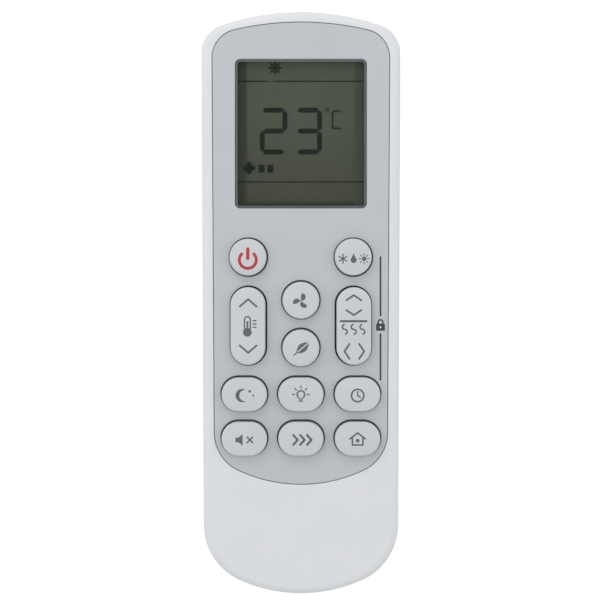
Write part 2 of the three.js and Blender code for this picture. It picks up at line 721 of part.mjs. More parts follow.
// A frame round both glasses, with a slot at the ledge for the connector strip.
function lcdHolder() {
  const grow = HOLDER_WALL + FIT_GAP;
  const y0 = windowY - rearHeight / 2 - grow;
  const y1 = windowY + rearHeight / 2 + GLASS_LEDGE + grow;
  const body = prism(
    roundedRectangle(glassWidth + 2 * grow, y1 - y0, HOLDER_CORNER),
    boardTop + SEAT_GAP, frontGlassTop, 0, (y0 + y1) / 2);
  const pocket = block(
    -glassWidth / 2 - FIT_GAP, glassWidth / 2 + FIT_GAP,
    windowY - rearHeight / 2 - FIT_GAP, windowY + rearHeight / 2 + GLASS_LEDGE + FIT_GAP,
    rearGlassBottom - SEAT_GAP, frontGlassTop + OVERCUT);
  const stripSlot = block(
    -STRIP_LENGTH / 2 - FIT_GAP, STRIP_LENGTH / 2 + FIT_GAP,
    stripY - STRIP_WIDTH / 2 - FIT_GAP, stripY + STRIP_WIDTH / 2 + FIT_GAP,
    boardTop, frontGlassTop);
  const light = block(
    -glassWidth / 2 + HOLDER_LEDGE, glassWidth / 2 - HOLDER_LEDGE,
    windowY - rearHeight / 2 + HOLDER_LEDGE, windowY + rearHeight / 2 - HOLDER_LEDGE,
    boardTop, frontGlassTop);
  return body.subtract(pocket).subtract(stripSlot).subtract(light);
}

function zebraStrip() {
  return block(
    -STRIP_LENGTH / 2, STRIP_LENGTH / 2,
    stripY - STRIP_WIDTH / 2, stripY + STRIP_WIDTH / 2,
    boardTop + SEAT_GAP, frontGlassBottom - SEAT_GAP);
}

// ---------------------------------------------------------------- keys, mat and board

// A press key: flange, drafted wall, rounded edge and a slightly crowned top. It is drawn about its
// own middle, with z counted from the underside of its flange.
function pressKey(hole) {
  const outline = (inset) => stadium(hole.width, hole.height, inset);
  return loft([
    { outline: outline(-KEY_FLANGE), z: 0 },
    { outline: outline(-KEY_FLANGE), z: KEY_FLANGE_THICKNESS },
    { outline: outline(KEY_GAP), z: KEY_FLANGE_THICKNESS },
    ...keyCrown(outline, keyTop - flangeBottom),
  ]);
}

// The part of a key that shows: rounded edge, then a crown that rises to the middle.
function keyCrown(outline, top) {
  const wall = KEY_GAP + KEY_DRAFT;
  const rim = top - KEY_CROWN;
  const levels = [];
  const steps = 2;
  for (let i = 0; i <= steps; i++) {
    const turn = THREE.MathUtils.degToRad((i / steps) * KEY_EDGE_SWEEP);
    levels.push({
      outline: outline(wall + KEY_EDGE_RADIUS * (1 - Math.cos(turn))),
      z: rim - KEY_EDGE_RADIUS * (1 - Math.sin(turn)),
    });
  }
  levels.push({ outline: outline(wall + KEY_CROWN_INSET), z: top });
  return levels;
}

// A rocker key: the same form, longer, that tilts on a round pin on each side of its middle.
function rockerKey(hole) {
  const outline = (inset) => stadium(hole.width, hole.height, inset);
  const bottom = flangeBottom - rockerPivot;
  const body = solid(loft([
    { outline: outline(KEY_GAP), z: bottom },
    ...keyCrown(outline, keyTop - rockerPivot),
  ]));
  const reach = hole.width / 2 + KEY_FLANGE;
  const pins = new THREE.CylinderGeometry(ROCKER_PIN_RADIUS, ROCKER_PIN_RADIUS, 2 * reach, 8);
  pins.rotateZ(Math.PI / 2);
  return body.add(solid(pins));
}

function addKeys() {
  for (const key of KEYS) {
    const y = panelEdge - key.drop;
    const shape = key.hole.rocks ? rockerKey(key.hole) : pressKey(key.hole);
    const base = key.hole.rocks ? rockerPivot : flangeBottom;
    add(key.name, shape, KEY_PLASTIC, [key.x, y, base]);
  }
}

// The silicone mat lies on the board and has a well under every key, deep enough for its travel,
// and a notch for each pin of the rockers.
function keypadMat() {
  const y0 = panelEdge - MAT_FOOT_DROP;
  const y1 = panelEdge - MAT_TOP_DROP;
  const reach = block(-CASE_TOP_WIDTH, CASE_TOP_WIDTH, y0, y1, matBottom, matTop);
  const wellFloor = matBottom + WELL_FLOOR;
  let mat = caseSlice(MAT_EDGE, matBottom, matTop).intersect(reach);
  for (const key of KEYS) {
    const y = panelEdge - key.drop;
    const wellInset = key.hole.rocks ? -FIT_GAP : -KEY_FLANGE - FIT_GAP;
    const well = holeOutline(key.hole, wellInset);
    mat = mat.subtract(prism(well, wellFloor, matTop + OVERCUT, key.x, y));
    if (key.hole.rocks) {
      const pinX = key.hole.width / 2 + KEY_FLANGE + FIT_GAP;
      const pinY = ROCKER_PIN_RADIUS + FIT_GAP;
      mat = mat.subtract(block(
        key.x - pinX, key.x + pinX, y - pinY, y + pinY, pinNotch, matTop + OVERCUT));
    }
  }
  for (const { x, y } of CASE_SCREWS) {
    mat = mat.subtract(bar(TOWER_RADIUS + FIT_GAP, matBottom - OVERCUT, matTop + OVERCUT, x, y));
  }
  for (const { x, y } of BOARD_SCREWS) {
    mat = mat.subtract(bar(POST_RADIUS + FIT_GAP, matBottom - OVERCUT, matTop + OVERCUT, x, y));
  }
  return mat;
}

function circuitBoard() {
  const foot = panelEdge - BOARD_FOOT_DROP;
  const reach = block(-CASE_TOP_WIDTH, CASE_TOP_WIDTH, foot, caseTop, boardBottom, boardTop);
  let board = caseSlice(CASE_WALL + DRAFT + BOARD_GAP, boardBottom, boardTop).intersect(reach);
  for (const { x, y } of CASE_SCREWS) {
    board = board.subtract(
      bar(TOWER_RADIUS + FIT_GAP, boardBottom - OVERCUT, boardTop + OVERCUT, x, y));
  }
  for (const { x, y } of BOARD_SCREWS) {
    board = board.subtract(bar(
      BOARD_SCREW_SHANK / 2 + FIT_GAP, boardBottom - OVERCUT, boardTop + OVERCUT,
      x, y, SCREW_SIDES));
  }
  return board;
}

// ---------------------------------------------------------------- parts on the board

// A packaged chip with a row of leads on two sides.
function controllerChip() {
  const top = boardBottom - SEAT_GAP;
  const middle = top - CHIP_HEIGHT / 2;
  const y = screwY - CHIP_DROP;
  const outline = (inset) => roundedRectangle(CHIP_SIZE, CHIP_SIZE, CHIP_CORNER, inset, 1);
  let chip = solid(loft([
    { outline: outline(CHIP_TAPER), z: top - CHIP_HEIGHT },
    { outline: outline(0), z: middle },
    { outline: outline(CHIP_TAPER), z: top },
  ]).translate(0, y, 0));
  const reach = CHIP_SIZE / 2 + CHIP_LEAD_REACH;
  for (let i = 0; i < CHIP_LEADS; i++) {
    const leadY = y + (i - (CHIP_LEADS - 1) / 2) * LEAD_PITCH;
    chip = chip.add(block(
      -reach, reach, leadY - CHIP_LEAD_WIDTH / 2, leadY + CHIP_LEAD_WIDTH / 2,
      middle, middle + CHIP_LEAD_THICKNESS));
  }
  return chip;
}

// A lying crystal can with round ends.
function crystal() {
  const top = boardBottom - SEAT_GAP;
  const outline = stadium(CRYSTAL_LENGTH, CRYSTAL_WIDTH, 0, 5);
  return prism(outline, top - CRYSTAL_HEIGHT, top, CRYSTAL_X, screwY - CRYSTAL_DROP);
}

// A lying electrolytic capacitor with the groove near its rubber end.
function capacitor() {
  const radius = CAPACITOR_DIAMETER / 2;
  const waist = radius - CAPACITOR_GROOVE;
  const groove = CAPACITOR_GROOVE_START;
  const geometry = turned([
    [0, 0], [radius, 0], [radius, groove], [waist, groove + CAPACITOR_GROOVE_WIDTH / 2],
    [radius, groove + CAPACITOR_GROOVE_WIDTH], [radius, CAPACITOR_LENGTH - CAPACITOR_GROOVE],
    [waist, CAPACITOR_LENGTH], [0, CAPACITOR_LENGTH],
  ], 14);
  geometry.rotateX(-Math.PI / 2);
  return geometry;
}

// One square leg, upright, about x and y.
function leg(x, y, z0, z1) {
  const half = LEAD_WIDTH / 2;
  return block(x - half, x + half, y - half, y + half, z0, z1);
}

// A transistor in a moulding with one flat side, with three legs.
function transistor() {
  const top = boardBottom - SEAT_GAP;
  const mouldingTop = top - TRANSISTOR_STAND_OFF;
  const flat = Math.PI / 5;
  const moulding = arc(0, 0, TRANSISTOR_DIAMETER / 2, -flat, Math.PI + flat, 8);
  const y = caseTop - TRANSISTOR_DROP_FROM_TOP;
  let made = prism(moulding, mouldingTop - TRANSISTOR_HEIGHT, mouldingTop, TRANSISTOR_X, y);
  for (const side of [-1, 0, 1]) {
    made = made.add(leg(TRANSISTOR_X + side * LEAD_PITCH, y, mouldingTop - LEAD_WIDTH, top));
  }
  return made;
}

// The infrared emitter looks out of the display end through a round port at the parting line. Its
// two legs turn up to the board.
function irLed() {
  const radius = LED_DIAMETER / 2;
  const rim = radius + LED_FLANGE;
  const dome = arc(0, LED_LENGTH - radius, radius, 0, Math.PI / 2, 4).map((p) => [p.x, p.y]);
  dome[dome.length - 1][0] = 0;
  const geometry = turned(
    [[0, 0], [rim, 0], [rim, LED_FLANGE_LENGTH], [radius, LED_FLANGE_LENGTH], ...dome], 14);
  geometry.rotateX(-Math.PI / 2);
  const back = caseTop - LED_RECESS - LED_LENGTH;
  geometry.translate(0, back, ledHeight);
  let led = solid(geometry);
  const half = LEAD_WIDTH / 2;
  for (const side of [-1, 1]) {
    const x = side * LEAD_PITCH;
    const lying = block(
      x - half, x + half, back - LED_LEG_REACH - half, back + half, ledHeight - half,
      ledHeight + half);
    const upright = leg(x, back - LED_LEG_REACH, ledHeight - half, boardBottom - SEAT_GAP);
    led = led.add(lying).add(upright);
  }
  return led;
}

// ---------------------------------------------------------------- batteries and contacts

// A cell along Y, nub first, drawn from its flat end.
function cell() {
  const r = CELL_DIAMETER / 2;
  const nub = CELL_NUB_DIAMETER / 2;
  const shoulder = CELL_LENGTH - CELL_NUB_HEIGHT;
  const step = CELL_RIM_HEIGHT;
  const rim = r - CELL_RIM;
  const geometry = turned([
    [0, 0], [rim - step, 0], [rim, step], [r, step], [r, shoulder - step], [rim, shoulder - step],
    [rim - step, shoulder], [nub, shoulder], [nub, CELL_LENGTH - step], [nub - step, CELL_LENGTH],
    [0, CELL_LENGTH],
  ], 16);
  geometry.rotateX(-Math.PI / 2);
  return geometry;
}

// A conical coil spring as one unbroken tube, base on y = 0 and tip at the spring's height.
function coilSpring() {
  const stepsPerTurn = 8;
  const sides = 5;
  const wire = SPRING_WIRE / 2;
  const steps = SPRING_TURNS * stepsPerTurn;
  const centres = [];
  for (let i = 0; i <= steps; i++) {
    const t = i / steps;
    const angle = t * SPRING_TURNS * 2 * Math.PI;
    const radius = SPRING_BASE_RADIUS + (SPRING_TIP_RADIUS - SPRING_BASE_RADIUS) * t;
    const rise = wire + (SPRING_HEIGHT - 2 * wire) * t;
    centres.push({ angle, radius, rise });
  }
  const positions = [];
  for (const { angle, radius, rise } of centres) {
    for (let k = 0; k < sides; k++) {
      const around = (k / sides) * 2 * Math.PI;
      const r = radius + wire * Math.cos(around);
      positions.push(r * Math.cos(angle), rise + wire * Math.sin(around), r * Math.sin(angle));
    }
  }
  const index = [];
  for (let i = 0; i < steps; i++) {
    for (let k = 0; k < sides; k++) {
      const a = i * sides + k;
      const b = i * sides + ((k + 1) % sides);
      index.push(a, b, b + sides, a, b + sides, a + sides);
    }
  }
  for (let k = 1; k + 1 < sides; k++) {
    index.push(0, k + 1, k);
    index.push(steps * sides, steps * sides + k, steps * sides + k + 1);
  }
  const geometry = new THREE.BufferGeometry();
  geometry.setAttribute('position', new THREE.Float32BufferAttribute(positions, 3));
  geometry.setIndex(index);
  reportCoilGap(centres, stepsPerTurn);
  return geometry;
}

// Prints the least gap between one turn of the wire and the next, measured on the tube's centres.
function reportCoilGap(centres, stepsPerTurn) {
  let least = Infinity;
  for (let i = 0; i < centres.length; i++) {
    for (let j = i + stepsPerTurn - 1; j < centres.length; j++) {
      const a = centres[i];
      const b = centres[j];
      const dx = a.radius * Math.cos(a.angle) - b.radius * Math.cos(b.angle);
      const dz = a.radius * Math.sin(a.angle) - b.radius * Math.sin(b.angle);
      least = Math.min(least, Math.hypot(dx, dz, a.rise - b.rise) - SPRING_WIRE);
    }
  }
  console.log(`least gap between spring turns: ${least.toFixed(2)} mm`);
}

// Sheet-metal contacts at the two ends of the bay. At the upper end each cell has its own plate with
// a leg up to the board; at the foot one plate links both cells.
function contactPlate(x0, x1, y0, legX) {
  const half = CONTACT_SIZE / 2;
  const plate = block(x0, x1, y0, y0 + CONTACT_THICKNESS, cellHeight - half, cellHeight + half);
  if (legX === null) return plate;
  const tab = block(
    legX - LEG_WIDTH / 2, legX + LEG_WIDTH / 2, y0, y0 + CONTACT_THICKNESS,
    cellHeight, boardBottom - SEAT_GAP);
  return plate.add(tab);
}

function addBatteries() {
  const x = CELL_SPACING / 2;
  const half = CONTACT_SIZE / 2;
  const leftCell = upperContactY - CELL_GAP - CELL_LENGTH;
  const rightCell = lowerContactY + CONTACT_THICKNESS + CELL_GAP;
  add('positive_plate', contactPlate(-x - half, -x + half, upperContactY, -x), TINNED_STEEL);
  add('negative_plate', contactPlate(x - half, x + half, upperContactY, x), TINNED_STEEL);
  add('link_plate', contactPlate(-x - half, x + half, lowerContactY, null), TINNED_STEEL);
  add('battery_left', cell(), CELL_SLEEVE, [-x, leftCell, cellHeight]);
  const right = add('battery_right', cell(), CELL_SLEEVE, [x, rightCell + CELL_LENGTH, cellHeight]);
  right.rotation.z = Math.PI;
  add('spring_link', coilSpring(), TINNED_STEEL, [-x, rightCell - CELL_GAP + SEAT_GAP, cellHeight]);
  const upper = add(
    'spring_negative', coilSpring(), TINNED_STEEL, [x, upperContactY - SEAT_GAP, cellHeight]);
  upper.rotation.z = Math.PI;
}

// ---------------------------------------------------------------- screws

// A pan-head screw that points up, with a cross recess in its head. z = 0 is under the head.
function screw(headDiameter, shankDiameter, length) {
  const head = headDiameter / 2;
  const shank = shankDiameter / 2;
  const height = headDiameter * SCREW_HEAD_RATIO;
  const body = solid(turned([
    [0, -height], [head - height / 2, -height], [head, -height / 2], [head, 0], [shank, 0],
    [shank, length - shank], [0, length],
  ], SCREW_SIDES));
  const arm = head / 2;
  const half = SCREW_CROSS_WIDTH / 2;
  const cross = block(-arm, arm, -half, half, -height - OVERCUT, -height / 2)
    .add(block(-half, half, -arm, arm, -height - OVERCUT, -height / 2));
  return body.subtract(cross);
}

function addScrews() {
  for (const { name, x, y } of CASE_SCREWS) {
    add(name, screw(CASE_SCREW_HEAD, CASE_SCREW_SHANK, CASE_SCREW_LENGTH), TINNED_STEEL,
      [x, y, TOWER_FLOOR - SEAT_GAP]);
  }
  for (const { name, x, y } of BOARD_SCREWS) {
    add(name, screw(BOARD_SCREW_HEAD, BOARD_SCREW_SHANK, BOARD_SCREW_LENGTH), TINNED_STEEL,
      [x, y, boardBottom - SEAT_GAP]);
  }
}

// ---------------------------------------------------------------- assembly

add('front_case', frontCase(), CASE_PLASTIC);
add('back_case', backCase(), CASE_PLASTIC);
add('battery_door', batteryDoor(), CASE_PLASTIC);
add('face_panel', facePanel(), PANEL_PLASTIC);
add('display_lens', displayLens(), CLEAR_PLASTIC, [0, windowY, 0]);
add('lcd_front_glass', lcdFrontGlass(), DISPLAY_GLASS);
add('lcd_rear_glass', lcdRearGlass(), DISPLAY_GLASS);
add('lcd_holder', lcdHolder(), HOLDER_PLASTIC);
add('zebra_strip', zebraStrip(), SILICONE);
addKeys();
add('keypad_mat', keypadMat(), SILICONE);
add('circuit_board', circuitBoard(), BOARD_LAMINATE);
add('controller_chip', controllerChip(), BLACK_RESIN);
add('crystal', crystal(), TINNED_STEEL);
add('capacitor', capacitor(), BLACK_RESIN, CAPACITOR_PLACE);
add('transistor', transistor(), BLACK_RESIN);
add('ir_led', irLed(), LED_RESIN);
addBatteries();
addScrews();

export default assembly;
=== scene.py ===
import math
import bmesh
import bpy
from mathutils import Matrix, Vector
from mathutils.bvhtree import BVHTree
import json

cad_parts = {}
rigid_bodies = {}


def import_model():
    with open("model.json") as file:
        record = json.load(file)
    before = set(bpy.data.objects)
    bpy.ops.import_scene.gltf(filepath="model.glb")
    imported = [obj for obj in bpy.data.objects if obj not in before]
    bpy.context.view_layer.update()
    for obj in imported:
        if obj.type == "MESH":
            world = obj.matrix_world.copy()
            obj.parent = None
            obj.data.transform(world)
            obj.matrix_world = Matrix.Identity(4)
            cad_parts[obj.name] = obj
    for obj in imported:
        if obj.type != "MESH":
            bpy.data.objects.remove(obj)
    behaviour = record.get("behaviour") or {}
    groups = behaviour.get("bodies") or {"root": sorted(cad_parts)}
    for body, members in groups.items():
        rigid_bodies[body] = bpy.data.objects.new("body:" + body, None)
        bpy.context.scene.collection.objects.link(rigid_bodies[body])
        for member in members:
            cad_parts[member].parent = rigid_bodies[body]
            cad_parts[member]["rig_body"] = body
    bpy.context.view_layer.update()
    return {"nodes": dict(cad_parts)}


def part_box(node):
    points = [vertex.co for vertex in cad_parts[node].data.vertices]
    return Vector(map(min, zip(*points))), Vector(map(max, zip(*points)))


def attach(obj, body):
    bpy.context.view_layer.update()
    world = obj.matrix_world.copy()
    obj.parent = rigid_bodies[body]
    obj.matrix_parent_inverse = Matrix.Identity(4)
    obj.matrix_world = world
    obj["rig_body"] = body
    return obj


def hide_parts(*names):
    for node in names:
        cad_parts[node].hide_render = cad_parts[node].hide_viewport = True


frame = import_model()

# The handset of a room air conditioner, face up. Shapes are drawn in millimetres and scaled to
# metres when a piece is finished. +Y points to the display end, +Z out of the face.

MM = 0.001
TOUCH = 1e-4  # vertices nearer than this are merged
CLOSED = 1e-3  # a loop whose ends are nearer than this has met itself
NUDGE = 1e-3  # lifts a level of a skin off one at the same height
SHARP = 32  # degrees between two faces, past which their edge shades as sharp
COPLANAR = 0.5  # degrees, under which two triangles of a CAD face are one face
ROUND_STEPS = 48

# The case and the inset panel share one kind of outline: shallow end arcs and tangent corner arcs.
CASE = dict(top_half=26.5, foot_half=25.9, top=77.0, foot=-77.0,
            top_arc=66.0, top_corner=8.0, foot_arc=39.5, foot_corner=16.3)
PANEL = dict(top_half=23.4, foot_half=22.8, top=73.9, foot=-47.8,
             top_arc=76.0, top_corner=7.5, foot_arc=38.5, foot_corner=11.0)

CASE_EDGE = 2.0
DRAFT = 0.2
WALL = 1.8
CEILING_TAPER = 1
RABBET_INSET = 0.9
RABBET_HEIGHT = 1.35
PARTING_EDGE = 0.12
RECESS_EDGE = 0.16
HOLDING = 0.06  # a narrow ring past a rounded edge, which keeps its shading off the flat face
PORT_RADIUS = 2.7
PORT_HEIGHT = 10
PORT_DEPTH = 8

# Panel and window. A window is its width, height and corner radius.
PANEL_GAP = 0.09
PANEL_EDGE = 0.15
KEY_HOLE_EDGE = 0.12
WINDOW_EDGE = 0.3
WINDOW = (34.7, 39.3, 1.4)
LENS_FLANGE = 1.6
LENS_FLANGE_THICKNESS = 0.9
LENS_SEAT = 1.8
LENS_GAP = 0.15
LENS_BEVEL = 0.5

# Keys and the print on them
KEY_GAP = 0.26
KEY_FLANGE = 0.45
KEY_FLANGE_THICKNESS = 0.75
KEY_DRAFT = 0.08
KEY_EDGE = 0.5
KEY_EDGE_SWEEP = 80
KEY_CROWN = 0.3
CROWN_STEPS = 12
CROWN_FLAT = 0.04  # radius of the flat spot that closes a crown in the middle
PIN_RADIUS = 0.4
PIN_LENGTH = 1.2
PIN_RISE = 0.35
INK = 0.02
INK_LIFT = 0.004
DRAPE = 0.6  # spacing of the cuts that let a sign bend over a crown
ABOVE_ALL = 40

# Key holes, as width and length
ROUND = (10.36, 10.36)
ROCKER = (9.78, 21.05)
OVAL = (12.6, 9.56)
KEYS = {
    "power": ROUND, "mode": ROUND, "fan": ROUND, "eco": ROUND, "temp": ROCKER, "swing": ROCKER,
    "sleep": OVAL, "display": OVAL, "timer": OVAL, "mute": OVAL, "turbo": OVAL, "room_sensor": OVAL,
}
# How far each key hangs off the middle of its hole: less than its gap, and the long keys less
# again, because their ends move along as they tilt.
PLAY = {
    "power": (-0.1, 0), "mode": (-0.08, 0.06), "fan": (0, -0.12), "eco": (0, -0.14),
    "temp": (-0.1, -0.06), "swing": (0.12, -0.08), "sleep": (0, -0.14), "display": (0, -0.14),
    "timer": (0, -0.12), "mute": (0, -0.14), "turbo": (0, -0.14), "room_sensor": (0, -0.14),
}


def lowest(node):
    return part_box(node)[0] / MM


def highest(node):
    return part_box(node)[1] / MM


def middle(node):
    return (lowest(node) + highest(node)) / 2


def key_body(key):
    return key + ("_rocker" if KEYS[key] is ROCKER else "_key")


# Heights that the CAD nodes give
PARTING = lowest("front_case").z
FACE = highest("front_case").z
PANEL_TOP = highest("face_panel").z
PANEL_UNDER = lowest("face_panel").z
LENS_TOP = highest("display_lens").z
LENS_UNDER = lowest("display_lens").z
GLASS_TOP = highest("lcd_front_glass").z
PANEL_SEAT_GAP = 0.15
FLOOR_THICKNESS = 1.1
FLOOR_TOP = PANEL_UNDER - PANEL_SEAT_GAP
FLOOR_UNDER = FLOOR_TOP - FLOOR_THICKNESS
WINDOW_Y = middle("display_lens").y


# ------------------------------------------------------------------ loops and skins

def swing(bm, vert, centre, angle, step):
    """Spins a vertex about a point and gives back the arc's last vertex."""
    steps = max(2, round(abs(angle) / math.radians(step)))
    spun = bmesh.ops.spin(bm, geom=[vert], cent=(centre[0], centre[1], vert.co.z),
                          axis=(0, 0, 1), angle=angle, steps=steps, use_duplicate=False)
    return [part for part in spun["geom_last"] if isinstance(part, bmesh.types.BMVert)][0]


def arc_loop(bm, arcs, inset, z, step):
    """One closed loop through arcs of (centre, radius, first angle, last angle)."""
    before = set(bm.edges)
    first = last = None
    for centre, radius, begin, end in arcs:
        reach = radius - inset
        at = Vector((centre[0] + reach * math.cos(begin), centre[1] + reach * math.sin(begin), z))
        if last is None:
            first = last = bm.verts.new(at)
        elif (last.co - at).length > CLOSED:
            grown = bmesh.ops.extrude_vert_indiv(bm, verts=[last])["verts"]
            bmesh.ops.translate(bm, verts=grown, vec=at - last.co)
            last = grown[0]
        last = swing(bm, last, centre, end - begin, step)
    if (last.co - first.co).length > CLOSED:
        bm.edges.new((last, first))
    else:
        bmesh.ops.weld_verts(bm, targetmap={last: first})
    return [edge for edge in bm.edges if edge not in before]


def handset_loop(shape):
    """The outline of the case or of the panel."""
    top_x = shape["top_half"] - shape["top_corner"]
    foot_x = shape["foot_half"] - shape["foot_corner"]
    top_middle = shape["top"] - shape["top_arc"]
    foot_middle = shape["foot"] + shape["foot_arc"]
    top_y = top_middle + math.sqrt((shape["top_arc"] - shape["top_corner"]) ** 2 - top_x ** 2)
    foot_y = foot_middle - math.sqrt((shape["foot_arc"] - shape["foot_corner"]) ** 2 - foot_x ** 2)
    apart = math.hypot(top_x - foot_x, top_y - foot_y)
    lean = math.atan2(top_y - foot_y, top_x - foot_x)
    side = lean - math.acos((shape["foot_corner"] - shape["top_corner"]) / apart)
    top_turn = math.atan2(top_y - top_middle, top_x)
    foot_turn = math.atan2(foot_y - foot_middle, foot_x)
    arcs = [
        ((top_x, top_y), shape["top_corner"], side, top_turn),
        ((0, top_middle), shape["top_arc"], top_turn, math.pi - top_turn),
        ((-top_x, top_y), shape["top_corner"], math.pi - top_turn, math.pi - side),
        ((-foot_x, foot_y), shape["foot_corner"], math.pi - side, math.pi - foot_turn),
        ((0, foot_middle), shape["foot_arc"], math.pi - foot_turn, 2 * math.pi + foot_turn),
        ((foot_x, foot_y), shape["foot_corner"], foot_turn, side),
    ]
    return lambda bm, inset, z: arc_loop(bm, arcs, inset, z, 2.5)


def long_loop(size, x=0.0, y=0.0, step=5):
    """A round or long hole with round ends."""
    radius = min(size) / 2
    dx = size[0] / 2 - radius
    dy = size[1] / 2 - radius
    if dx == 0 and dy == 0:
        arcs = [((x, y), radius, 0, 2 * math.pi)]
    else:
        turn = 0 if dy > 0 else -math.pi / 2
        arcs = [((x + dx, y + dy), radius, turn, turn + math.pi),
                ((x - dx, y - dy), radius, turn + math.pi, turn + 2 * math.pi)]
    return lambda bm, inset, z: arc_loop(bm, arcs, inset, z, step)


def cornered_loop(width, height, corner, x=0.0, y=0.0, step=9):
    """A rectangle with round corners."""
    right = width / 2 - corner
    top = height / 2 - corner
    quarter = math.pi / 2
    centres = [(x + right, y + top), (x - right, y + top),
               (x - right, y - top), (x + right, y - top)]
    arcs = [(centre, corner, turn * quarter, (turn + 1) * quarter)
            for turn, centre in enumerate(centres)]
    return lambda bm, inset, z: arc_loop(bm, arcs, inset, z, step)


def skin(bm, draw, levels):
    """Bridges each loop of (inset, height) to the next, and gives back the first and last loops."""
    loops = []
    below = levels[0][1] - 1
    for inset, z in levels:
        if abs(z - below) < NUDGE:
            z += NUDGE  # two loops at one height have no direction to be bridged along
        loops.append(draw(bm, inset, z))
        below = z
    for lower, upper in zip(loops, loops[1:]):
        bmesh.ops.bridge_loops(bm, edges=lower + upper)
    return loops[0], loops[-1]


def flat(bm, *loops):
    """Fills the flat region inside the first loop and outside the others."""
    bmesh.ops.triangle_fill(bm, use_beauty=True, use_dissolve=False, normal=(0, 0, 1),
                            edges=[edge for loop in loops for edge in loop])


def rounded(inset, z, radius, sweep=90, steps=6, out=False):
    """Levels of a rounded edge that rises from (inset, z): inwards, or outwards for a hole."""
    levels = []
    for i in range(steps + 1):
        turn = math.radians(sweep) * i / steps
        move = radius * (1 - math.cos(turn))
        levels.append((inset - move if out else inset + move, z + radius * math.sin(turn)))
    return levels


# ------------------------------------------------------------------ finishing a piece

def put_in_scene(name, data):
    thing = bpy.data.objects.new(name, data)
    bpy.context.scene.collection.objects.link(thing)
    return thing


def finish_piece(bm, name, body, material, replaces=(), weld=True):
    """Closes the mesh, turns its faces out and puts it on its body."""
    if weld:
        bmesh.ops.remove_doubles(bm, verts=bm.verts, dist=TOUCH)
    bmesh.ops.recalc_face_normals(bm, faces=bm.faces)
    bmesh.ops.scale(bm, verts=bm.verts, vec=(MM, MM, MM))
    mesh = bpy.data.meshes.new(name)
    bm.to_mesh(mesh)
    bm.free()
    mesh.shade_smooth()
    mesh.set_sharp_from_angle(angle=math.radians(SHARP))
    piece = put_in_scene(name, mesh)
    piece.data.materials.append(material)
    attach(piece, body)
    if replaces:
        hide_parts(*replaces)
    return piece


def cut_round(piece, radius, centre, length):
    """Cuts a round port along Y through a finished piece."""
    bm = bmesh.new()
    bmesh.ops.create_cone(bm, cap_ends=True, segments=ROUND_STEPS, radius1=radius * MM,
                          radius2=radius * MM, depth=length * MM,
                          matrix=Matrix.Translation(Vector(centre) * MM)
                          @ Matrix.Rotation(math.pi / 2, 4, "X"))
    mesh = bpy.data.meshes.new("port_cutter")
    bm.to_mesh(mesh)
    bm.free()
    cutter = put_in_scene("port_cutter", mesh)
    cut = piece.modifiers.new("port", "BOOLEAN")
    cut.operation = "DIFFERENCE"
    cut.object = cutter
    bpy.context.view_layer.update()
    made = bpy.data.meshes.new_from_object(
        piece.evaluated_get(bpy.context.evaluated_depsgraph_get()))
    piece.modifiers.remove(cut)
    piece.data = made
    made.set_sharp_from_angle(angle=math.radians(SHARP))
    bpy.data.objects.remove(cutter)


def softened_copy(node, name, material):
    """A CAD node's own shape, merged and with smooth curves, in its better finish."""
    bm = bmesh.new()
    bm.from_mesh(frame["nodes"][node].data)
    bmesh.ops.remove_doubles(bm, verts=bm.verts, dist=TOUCH * MM)
    bmesh.ops.dissolve_limit(bm, angle_limit=math.radians(COPLANAR), verts=bm.verts,
                             edges=bm.edges)
    mesh = bpy.data.meshes.new(name)
    bm.to_mesh(mesh)
    bm.free()
    mesh.shade_smooth()
    mesh.set_sharp_from_angle(angle=math.radians(SHARP))
    piece = put_in_scene(name, mesh)
    piece.data.materials.append(material)
    weighted = piece.modifiers.new("flats", "WEIGHTED_NORMAL")
    weighted.keep_sharp = True
    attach(piece, frame["nodes"][node]["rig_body"])
    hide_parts(node)
    return piece


# ------------------------------------------------------------------ materials

def colour(hex_code):
    """An sRGB hex value as linear red, green, blue and alpha."""
    parts = [int(hex_code[i:i + 2], 16) / 255 for i in (1, 3, 5)]
    linear = [p / 12.92 if p <= 0.04045 else ((p + 0.055) / 1.055) ** 2.4 for p in parts]
    return (*linear, 1.0)


def add(tree, kind, settings=None, links=None):
    """Adds a node, sets its properties and inputs, and links sources into its inputs."""
    node = tree.nodes.new(kind)
    for name, value in (settings or {}).items():
        if isinstance(name, str) and hasattr(node, name):
            setattr(node, name, value)
        else:
            node.inputs[name].default_value = value
    for name, source in (links or {}).items():
        tree.links.new(source, node.inputs[name])
    return node


def surface(name, settings):
    """A material with one Principled surface. Gives back the material, its tree and the surface."""
    material = bpy.data.materials.new(name)
    material.use_nodes = True
    tree = material.node_tree
    shader = tree.nodes["Principled BSDF"]
    for key, value in settings.items():
        shader.inputs[key].default_value = value
    return material, tree, shader


def mottle(tree, place, dark, light, size):
    """A colour that wanders between two close tones over a real size in millimetres."""
    noise = add(tree, "ShaderNodeTexNoise", {"Scale": 1 / (size * MM), "Detail": 3.0},
                {"Vector": place})
    ramp = add(tree, "ShaderNodeValToRGB", links={"Fac": noise.outputs["Fac"]})
    for element, position, tone in zip(ramp.color_ramp.elements, (0.35, 0.65), (dark, light)):
        element.position = position
        element.color = colour(tone)
    return ramp.outputs["Color"]


